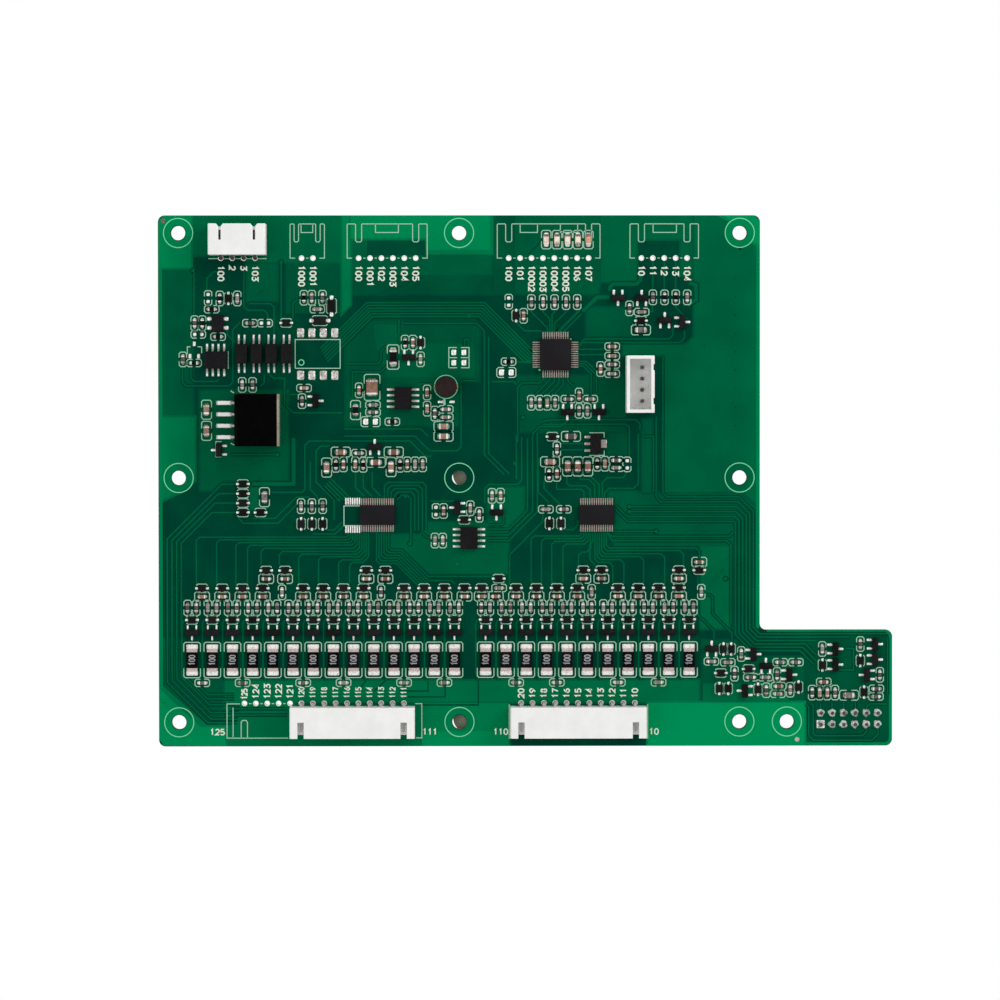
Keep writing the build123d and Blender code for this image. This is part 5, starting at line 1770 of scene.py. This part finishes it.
def nearest(block: Block, others: Sequence[Block]) -> Block:
    """The one of other blocks whose middle is nearest to a block's."""
    return min(others, key=lambda other: math.dist(other.centre, block.centre))


@dataclass
class GullLead:
    """A formed lead: out of the case, down a slope and along its foot.

    Attributes:
        rise: height at which it leaves the case.
        run: distance from the case to its tip.
        width: width of the lead.
        foot: length of its foot.
        thickness: thickness of the metal.
    """

    rise: float
    run: float
    width: float
    foot: float
    thickness: float = 0.13

    def shape(self) -> Shape:
        """The lead, starting inside the case at x = 0 and pointing along +X."""
        knee = self.run - self.foot
        profile = [(-0.12, self.rise), (knee * 0.35, self.rise), (knee * 0.55, self.rise * 0.85),
                   (knee * 0.85, self.rise * 0.15), (knee, 0.02), (self.run, 0.0)]
        return strip(profile, self.width, self.thickness)


@dataclass
class Diodes:
    """Two-lead diodes with formed leads and soldered feet.

    Attributes:
        nodes: CAD nodes of the cases.
        replaced: CAD nodes of their leads, if they have any.
        name: name of the cast cases.
        lead: the formed lead.
        pad: length and width of each soldered foot.
    """

    nodes: Sequence[str]
    replaced: Sequence[str]
    name: str
    lead: GullLead
    pad: tuple[float, float]

    def build(self, seed: int) -> None:
        """Cast the cases and their leads, and solder the feet."""
        tones = np.random.default_rng(seed)
        cases = Casting()
        leads = Casting()
        for node in self.nodes:
            for block in blocks_of(node):
                x, y = block.centre
                cases.add(moulded(block, 0.12, 0.06).seated(block), float(tones.random()))
                for way in (0, 180):
                    turn = block.turn + way
                    side = block.long / 2
                    root = ahead(x, y, turn, side)
                    leads.add(self.lead.shape().moved(*root, BOARD_TOP, turn))
                    tip = side + self.lead.run - self.lead.foot / 2
                    SOLDER.foot(*ahead(x, y, turn, tip), turn, *self.pad)
        cases.cast(f"{self.name}_cases", FINISH.epoxy, Slot.EPOXY, self.nodes)
        leads.cast(f"{self.name}_formed_leads", FINISH.tin, Slot.TIN, self.replaced)


@dataclass
class LeadedCases:
    """Transistors, large diodes and the bridge, with formed leads and soldered feet.

    Attributes:
        names: first part of the names of the CAD nodes.
        piece: first part of the names of the cast pieces.
        lead: the formed lead.
        pad: length and width of each soldered foot.
        seed: start of the cases' tones.
        grow: how far each case's parting line stands out beyond the CAD case.
    """

    names: Sequence[str]
    piece: str
    lead: GullLead
    pad: tuple[float, float]
    seed: int
    grow: float = 0.0

    def build(self) -> None:
        """Cast the cases and the leads."""
        tones = np.random.default_rng(self.seed)
        cases = Casting()
        leads = Casting()
        for name in self.names:
            bodies = blocks_of(f"{name}_bodies")
            for body in bodies:
                shape = moulded(body, 0.14, 0.07, grow=self.grow).seated(body)
                cases.add(shape, float(tones.random()))
            for foot in blocks_of(f"{name}_leads"):
                self.solder_lead(leads, nearest(foot, bodies), foot)
        cases.cast(f"{self.piece}_cases", FINISH.epoxy, Slot.EPOXY,
                   [f"{name}_bodies" for name in self.names])
        leads.cast(f"{self.piece}_formed_leads", FINISH.tin, Slot.TIN,
                   [f"{name}_leads" for name in self.names])

    def solder_lead(self, leads: Casting, body: Block, foot: Block) -> None:
        """Form one lead from its case to its CAD foot, and solder it."""
        x, y = body.centre
        u, v = foot.centre
        if abs(u - x) - body.size[0] / 2 > abs(v - y) - body.size[1] / 2:
            root = (x + math.copysign(body.size[0] / 2, u - x), v)
            turn = 0 if u > x else 180
        else:
            root = (u, y + math.copysign(body.size[1] / 2, v - y))
            turn = 90 if v > y else -90
        leads.add(self.lead.shape().moved(*root, BOARD_TOP, turn))
        SOLDER.foot(*ahead(*root, turn, self.pad[0] / 2 + 0.06), turn, *self.pad)


@dataclass
class LeadedChip:
    """A chip with rows of CAD leads: a moulded case with a pin mark, pads and solder.

    Attributes:
        name: first part of the names of the CAD nodes.
        case: name of the CAD node of its case.
        corner: radius of the case's upright corners.
        reach: how far the pads reach beyond the leads' tips.
        pad_width: width of each pad.
        dimple: offset of the pin mark from the case's corner, and its radius.
        crown: height of the solder on its pads.
        tone: brightness of the case, from 0 to 1.
        joint: brightness of the solder on its pads, from 0 to 1.
    """

    name: str
    case: str
    corner: float
    reach: float
    pad_width: float
    dimple: tuple[float, float]
    crown: float = 0.05
    tone: float = 0.5
    joint: float = 0.8

    def build(self) -> None:
        """Cast the cases and pads, and dress the CAD leads."""
        cases = Casting()
        marks = Casting()
        bodies = blocks_of(self.case)
        for body in bodies:
            cases.add(moulded(body, self.corner, 0.1).seated(body), self.tone)
            inset, radius = self.dimple
            mark = washer(radius * 0.8, radius, -0.02, 0.012, 16)
            dx = body.long / 2 - inset
            dy = body.short / 2 - inset
            marks.add(mark.moved(dx, dy, body.size[2]).seated(body), self.tone)
        cases.cast(f"{self.name}_cases", FINISH.epoxy, Slot.EPOXY, [self.case])
        marks.cast(f"{self.name}_pin_marks", FINISH.epoxy, Slot.EPOXY)
        foot = 0.6
        length = foot + self.reach
        for lead in blocks_of(f"{self.name}_leads"):
            x, y = nearest(lead, bodies).centre
            u, v = lead.centre
            if lead.size[0] > lead.size[1]:
                turn = 0 if u > x else 180
            else:
                turn = 90 if v > y else -90
            middle = ahead(u, v, turn, lead.long / 2 - foot + length / 2)
            SOLDER.pad(*middle, length, self.pad_width, turn, self.crown, 0.05, self.joint)
        dress(f"{self.name}_leads", FINISH.tin if self.joint > 0.5 else FINISH.plate)


# Sockets, module, coil, lamps and header


@dataclass
class Sockets:
    """The plug sockets, their pins and their soldered tails."""

    edge: float = 0.16
    tail_radius: float = 0.85
    tail_height: float = 0.9
    ring_radius: float = 0.64

    def build(self) -> None:
        """Soften the housings, dress the pins, solder their tails and paint shade into the middle
        of each pad.
        """
        rings = Casting()
        hole_shades = Casting()
        for name in ("upper_socket", "left_cell_socket", "right_cell_socket", "upright_socket"):
            soften(f"{name}_housing", FINISH.nylon, self.edge)
            pins = f"{name}_pins"
            dress(pins, FINISH.tin if "cell" in name else FINISH.dull)
            for block in blocks_of(pins):
                x, y = self.tail_place(name, block)
                SOLDER.cone(x, y, self.tail_radius, self.tail_height, 0.34)
                ring = lathe([self.ring_radius, self.ring_radius, self.ring_radius * 0.7],
                             [-0.01, 0.04, 0.09], 14)
                rings.add(ring.moved(x, y, BOARD_TOP))
                # Painted shade: a dark disc in the middle of each pad stands in for the shadow in
                # the hole behind the pin.
                hole_shade = lathe([0.46, 0.44], [0.05, 0.1], 12)
                hole_shades.add(hole_shade.moved(x, y, BOARD_TOP), 0.2)
        rings.cast("socket_pads", FINISH.tin, Slot.TIN)
        hole_shades.cast("painted_hole_shadows", FINISH.dull, Slot.TIN)

    def tail_place(self, name: str, block: Block) -> tuple[float, float]:
        """Where a pin goes through the board: at the end of its box that is away from the mouth."""
        half = 0.32
        if name == "upright_socket":
            return block.centre
        if name == "upper_socket":
            return block.centre[0], block.low[1] + half
        return block.centre[0], block.high[1] - half


@dataclass
class OpenHoles:
    """Plated holes without a socket."""

    def build(self) -> None:
        """Plate the holes."""
        for x, y, radius in open_holes():
            if radius < 1:
                SOLDER.barrel(x, y, 0.5, 0.13)


@dataclass
class EmptyPads:
    """Bare tinned pads of parts that were left out, and the two small test pads."""

    def build(self) -> None:
        """Cast the pads."""
        for x, y, turn, large in EMPTY_PADS:
            half, length, width = (1.08, 1.1, 1.35) if large else (0.8, 0.76, 0.8)
            for way in (-half, half):
                SOLDER.pad(*ahead(x, y, turn, way), length, width, turn, 0.12, 0.25)
        monitor_columns = [-25.25 + 0.5 * column for column in range(7)]
        grids = [
            ((-1.2, 1.05), (27.9, 25.6), (1.05, 1.2, 0, 0.12, 0.2)),
            ((-35.3, -32.8, -30.25, -27.7), (32.3, 22.85), (1.55, 2.0, 0, 0.16, 0.25, 0.45)),
            ((-4.2, -1.6), (16.9,), (1.1, 0.55, 0, 0.1)),
            ((-58.95,), (29.85,), (0.65, 1.0, 0, 0.12)),
            ((-59.9, -58.0), (27.1,), (0.65, 1.0, 0, 0.12)),
            (monitor_columns, (-5.2, -11.5), (0.3, 1.5, 0, 0.05, 0.05)),
        ]
        for columns, rows, pad in grids:
            for column in columns:
                for row in rows:
                    SOLDER.pad(column, row, *pad)
        for name, finish, x, y in (("left_aiming_mark", FINISH.dull, -65.8, 57.2),
                                   ("right_aiming_mark", FINISH.plate, 75.4, -58.5)):
            mark = Casting()
            mark.add(lathe([0.52, 0.52, 0.46], [-0.01, 0.03, 0.045], 16).moved(x, y, BOARD_TOP))
            mark.cast(name, finish, Slot.TIN)


@dataclass
class SupplyModule:
    """The potted supply module, its pale end strip and its flat bent leads."""

    def build(self) -> None:
        """Soften the case, dress the strip and solder the leads."""
        soften("supply_module_case", FINISH.case, 0.3)
        soften("supply_module_end_strip", FINISH.strip, 0.1)
        dress("supply_module_leads", FINISH.tin)
        for block in blocks_of("supply_module_leads"):
            SOLDER.pad(block.low[0] + 1.45, block.centre[1], 3.7, 0.98, 0, 0.5, 0.2, 1.0)


@dataclass
class Coil:
    """The wound coil: a ferrite drum with rounded flanges, and turns of enamelled wire."""

    turns: int = 6
    sides: int = 40

    def build(self) -> None:
        """Cast the drum and the winding, and solder the feet."""
        drum = blocks_of("coil_drum")[0]
        winding = blocks_of("coil_winding")[0]
        x, y = drum.centre
        outer = drum.long / 2
        hub = outer * 0.5
        low, high = drum.low[2], drum.high[2]
        start, end = winding.low[2], winding.high[2]
        casting = Casting()
        radii = [outer - 0.1, outer, outer, hub, hub, outer, outer, outer - 0.12, outer * 0.55,
                 outer * 0.5]
        heights = [low, low + 0.1, start, start, end, end, high - 0.12, high, high, high - 0.05]
        casting.add(lathe(radii, heights, self.sides).moved(x, y))
        casting.cast("drum_core", FINISH.ferrite, Slot.FERRITE, ["coil_drum"])
        share = np.linspace(0, 1, self.turns * 4 + 1)
        reach = winding.long / 2
        radii = reach - 0.12 + 0.12 * np.abs(np.sin(share * self.turns * math.pi))
        heights = start + (end - start) * share
        casting = Casting()
        casting.add(lathe(radii.tolist(), heights.tolist(), self.sides).moved(x, y))
        casting.cast("wire_turns", FINISH.wire, Slot.WIRE, ["coil_winding"])
        dress("coil_feet", FINISH.tin)
        tails = Casting()
        for way in (-1, 1):
            SOLDER.foot(x + way * 2.0, y, 0, 0.9, 1.4, 0.3)
            tail = outline(0.3, 1.3, 0.12, 2)
            tails.add(stack([tail, tail, tail * 0.7], [0.0, 0.5, 0.62]).moved(
                x + way * 2.42, y, BOARD_TOP + 0.1))
        tails.cast("wire_ends", FINISH.wire, Slot.WIRE)


@dataclass
class Lamps:
    """The indicator lamps: pale blocks with a domed lens between soldered ends."""

    def build(self) -> None:
        """Cast the blocks and lenses and solder their ends."""
        casting = Casting()
        dark_ends = Casting()
        for tone, block in zip((0.75, 0.85, 0.8, 0.75, 0.45), blocks_of("indicator_lamps")):
            x, y = block.centre
            base = outline(block.long - 0.1, block.short, 0.08)
            lens = outline(block.long - 0.7, block.short - 0.16, 0.2)
            crown = outline(block.long - 1.0, block.short - 0.4, 0.2)
            height = block.size[2]
            # A dark block over each lamp's metal end towards +Y, below the lens top.
            shade = outline(0.5, block.short - 0.2, 0.1, 1, 0.95)
            dark_ends.add(stack([shade, shade], [height * 0.3, height * 0.72]).moved(
                x, y, block.low[2], 90))
            low = stack([base, base], [0.0, height * 0.4])
            high = stack([lens, lens, crown], [height * 0.38, height * 0.8, height])
            for shape in (low, high):
                casting.add(shape.seated(block), tone)
            SOLDER.chip_ends(block, height * 0.42, 0.28, 0.55)
        casting.cast("lamp_blocks", FINISH.lens, Slot.LAMP, ["indicator_lamps"])
        dark_ends.cast("lamp_dark_ends", FINISH.film, Slot.RESISTOR)


@dataclass
class Regulator:
    """The regulator and its wide tab."""

    def build(self) -> None:
        """Cast the case and solder the leads."""
        body = blocks_of("regulator_body")[0]
        casting = Casting()
        casting.add(moulded(body, 0.15, 0.12).seated(body))
        casting.cast("regulator_case", FINISH.epoxy, Slot.EPOXY, ["regulator_body"])
        dress("regulator_leads", FINISH.plate)
        for lead in blocks_of("regulator_leads"):
            way = math.copysign(1, lead.centre[0] - body.centre[0])
            SOLDER.pad(lead.centre[0] + 0.12 * way, lead.centre[1], lead.size[0] + 0.1,
                       lead.size[1] + 0.1, 0, 0.12, tone=0.4)


@dataclass
class BackHeader:
    """The header on the tab's back, with its joints on the component side."""

    pad_radius: float = 0.86

    def build(self) -> None:
        """Soften the body, gild the pins, solder the lobed joints and darken the cut tips."""
        soften("back_header_body", FINISH.epoxy, 0.12)
        dress("back_header_pins", FINISH.gold)
        tips = Casting()
        joints = Casting()
        chance = np.random.default_rng(41)
        for block in blocks_of("back_header_pins"):
            x, y = block.centre
            height = block.high[2] - BOARD_TOP + 0.03
            radii = np.array([self.pad_radius, self.pad_radius, 0.78, 0.62, 0.5, 0.46])
            shares = [-0.02, 0.05, 0.2, 0.5, 0.85, 1.0]
            angles = np.arange(20) * math.tau / 20
            phases = chance.uniform(0, math.tau, 2)
            lobes = 0.1 * np.cos(3 * angles + phases[0]) + 0.08 * np.cos(5 * angles + phases[1])
            dome = stack([circle(radius, 20) * (1 + lobes[:, None]) for radius in radii],
                         [share * height for share in shares])
            joints.add(dome.moved(x, y, BOARD_TOP), float(chance.uniform(0.55, 1.0)))
            tip = lathe([0.45, 0.42], [height - 0.02, height + 0.03], 12)
            tips.add(tip.moved(x + 0.05, y - 0.04, BOARD_TOP), 0.2)
        tips.cast("cut_pin_tips", FINISH.dull, Slot.TIN)
        low = min(blocks_of("back_header_pins"), key=lambda block: sum(block.centre))
        square = outline(1.75, 1.75, 0.1)
        joints.add(stack([square, square], [-0.01, 0.05]).moved(*low.centre, BOARD_TOP), 0.9)
        # Their finish paints highlights and reflections of the board onto the solder.
        joints.cast("header_joints", FINISH.joint, Slot.TIN)


# Studio


WHITE = (1.0, 1.0, 1.0, 1.0)


@dataclass
class Studio:
    """Floor, supports, lights and camera of the picture."""

    floor_z: float = -8.6
    floor_half: float = 3000.0
    post_radius: float = 3.0
    post_top: float = -0.6
    camera_place: tuple[float, float, float] = (0.24, 17.79, 953.0)
    camera_turn: tuple[float, float, float] = (-1.37, -0.533, -0.04)
    lens_mm: float = 153.7

    def white_for_camera(self) -> Material:
        """White paint that the camera, gloss and glass see as evenly lit."""
        material = bpy.data.materials.new("white_floor")
        material.use_nodes = True
        tree = material.node_tree
        tree.nodes.clear()
        rays = add_node(tree, "ShaderNodeLightPath").outputs
        seen = add_node(tree, "ShaderNodeMath", rays["Is Camera Ray"], rays["Is Transmission Ray"],
                        operation="MAXIMUM")
        paint = add_node(tree, "ShaderNodeBsdfDiffuse")
        glow = add_node(tree, "ShaderNodeEmission")
        for shader in (paint, glow):
            shader.inputs["Color"].default_value = WHITE
        glow.inputs["Strength"].default_value = 1.0
        mix = add_node(tree, "ShaderNodeMixShader", seen.outputs[0], paint.outputs[0],
                       glow.outputs[0])
        add_node(tree, "ShaderNodeOutputMaterial", mix.outputs[0])
        return material

    def floor(self) -> None:
        """A wide white floor under the board."""
        half = self.floor_half * MM
        z = self.floor_z * MM
        mesh = bpy.data.meshes.new("floor")
        mesh.from_pydata([(-half, -half, z), (half, -half, z), (half, half, z), (-half, half, z)],
                         [], [(0, 1, 2, 3)])
        mesh.materials.append(self.white_for_camera())
        placed("floor", mesh)

    def post(self, x: float, y: float) -> None:
        """A short grey post under the board, seen through a mounting hole."""
        shape = lathe([self.post_radius] * 2, [self.floor_z, self.post_top], 32).moved(x, y)
        mesh = bpy.data.meshes.new("post")
        mesh.from_pydata(shape.points * MM, [], shape.faces)
        finish = SpeckledFinish("post_paint", "85867a", "a0a192", 0.6, 0.6, 0.01)
        mesh.materials.append(finish.build())
        placed("post", mesh)

    def lamp(self, name: str, place: tuple[float, float, float], size: float, power: float) -> None:
        """An area lamp that looks at the board's middle.

        Args:
            name: name of the lamp.
            place: its place in metres.
            size: its size in metres.
            power: its power in watts.
        """
        light = bpy.data.lights.new(name, "AREA")
        light.energy = power
        light.size = size
        lamp = placed(name, light)
        lamp.location = place
        lamp.rotation_euler = (-lamp.location).to_track_quat("-Z", "Y").to_euler()

    def world(self) -> None:
        """An even pale room, a little brighter straight above, where the camera hangs."""
        world = bpy.data.worlds.new("pale_room")
        bpy.context.scene.world = world
        world.use_nodes = True
        tree = world.node_tree
        place = add_node(tree, "ShaderNodeTexCoord").outputs["Generated"]
        height = add_node(tree, "ShaderNodeSeparateXYZ", place).outputs[2]
        glow = map_range(tree, height, (0.80, 0.96, 0.6, 0.7))
        ray = add_node(tree, "ShaderNodeLightPath").outputs["Is Camera Ray"]
        seen = add_node(tree, "ShaderNodeMath", glow, ray, operation="MAXIMUM")
        background = tree.nodes["Background"].inputs
        tree.links.new(seen.outputs[0], background["Strength"])
        background["Color"].default_value = WHITE

    def camera(self) -> None:
        """The camera, nearly straight above the board's middle."""
        camera = bpy.data.cameras.new("camera")
        camera.lens = self.lens_mm
        camera.sensor_width = 36.0
        camera.clip_start = 0.01
        camera.clip_end = 10.0
        holder = placed("camera", camera)
        holder.location = [value * MM for value in self.camera_place]
        holder.rotation_euler = [math.radians(value) for value in self.camera_turn]
        bpy.context.scene.camera = holder

    def build(self) -> None:
        """Set up the whole studio."""
        self.floor()
        for place in ((1.6, 0.6), (1.6, -53.9)):
            self.post(*place)
        self.world()
        self.lamp("right_window", (0.75, 0.55, 0.6), 0.6, 5.0)
        self.lamp("left_fill", (-0.7, -0.2, 0.8), 0.7, 2.9)
        self.camera()
        bpy.context.scene.view_settings.view_transform = "Standard"


def main() -> None:
    """Build every sub-assembly in order."""
    logging.basicConfig(level=logging.INFO, format="%(name)s %(message)s")
    dress("circuit_board", FINISH.mask)
    CopperLayer().build()
    PrintedLayer().build()
    build_chip_parts()
    BalancingResistors().build()
    Diodes(SMALL_DIODES, [], "small_diode", GullLead(0.4, 0.45, 0.32, 0.25), (0.72, 0.6)).build(19)
    LeadedCases(["supply_diode"], "large_diode", GullLead(0.5, 0.5, 0.6, 0.28), (0.95, 0.9),
                23).build()
    LeadedCases(["balance_transistor"], "balancing_transistor", GullLead(0.45, 0.58, 0.36, 0.3),
                (1.02, 0.44), 13, 0.1).build()
    LeadedCases(["circuit_transistor", "tab_transistor"], "transistor",
                GullLead(0.45, 0.58, 0.4, 0.3), (1.12, 0.58), 31, 0.05).build()
    LeadedChip("controller", "controller_body", 0.45, 0.6, 0.27, (0.9, 0.4), tone=1.2,
               joint=0.1).build()
    LeadedChip("monitor", "monitor_bodies", 0.12, 0.55, 0.28, (0.6, 0.3), tone=1.1,
               joint=-0.4).build()
    LeadedChip("driver", "driver_bodies", 0.12, 0.6, 0.5, (0.7, 0.35), 0.14).build()
    LeadedChip("isolator", "isolator_bodies", 0.12, 0.75, 0.44, (0.6, 0.3), 0.14).build()
    Regulator().build()
    SupplyModule().build()
    Coil().build()
    Lamps().build()
    Sockets().build()
    OpenHoles().build()
    EmptyPads().build()
    BackHeader().build()
    SOLDER.casting.cast("solder_joints", FINISH.solder, Slot.TIN)
    SOLDER.caps.cast("chip_ends", FINISH.plate, Slot.TIN)
    Studio().build()


if __name__ == "__main__":
    main()
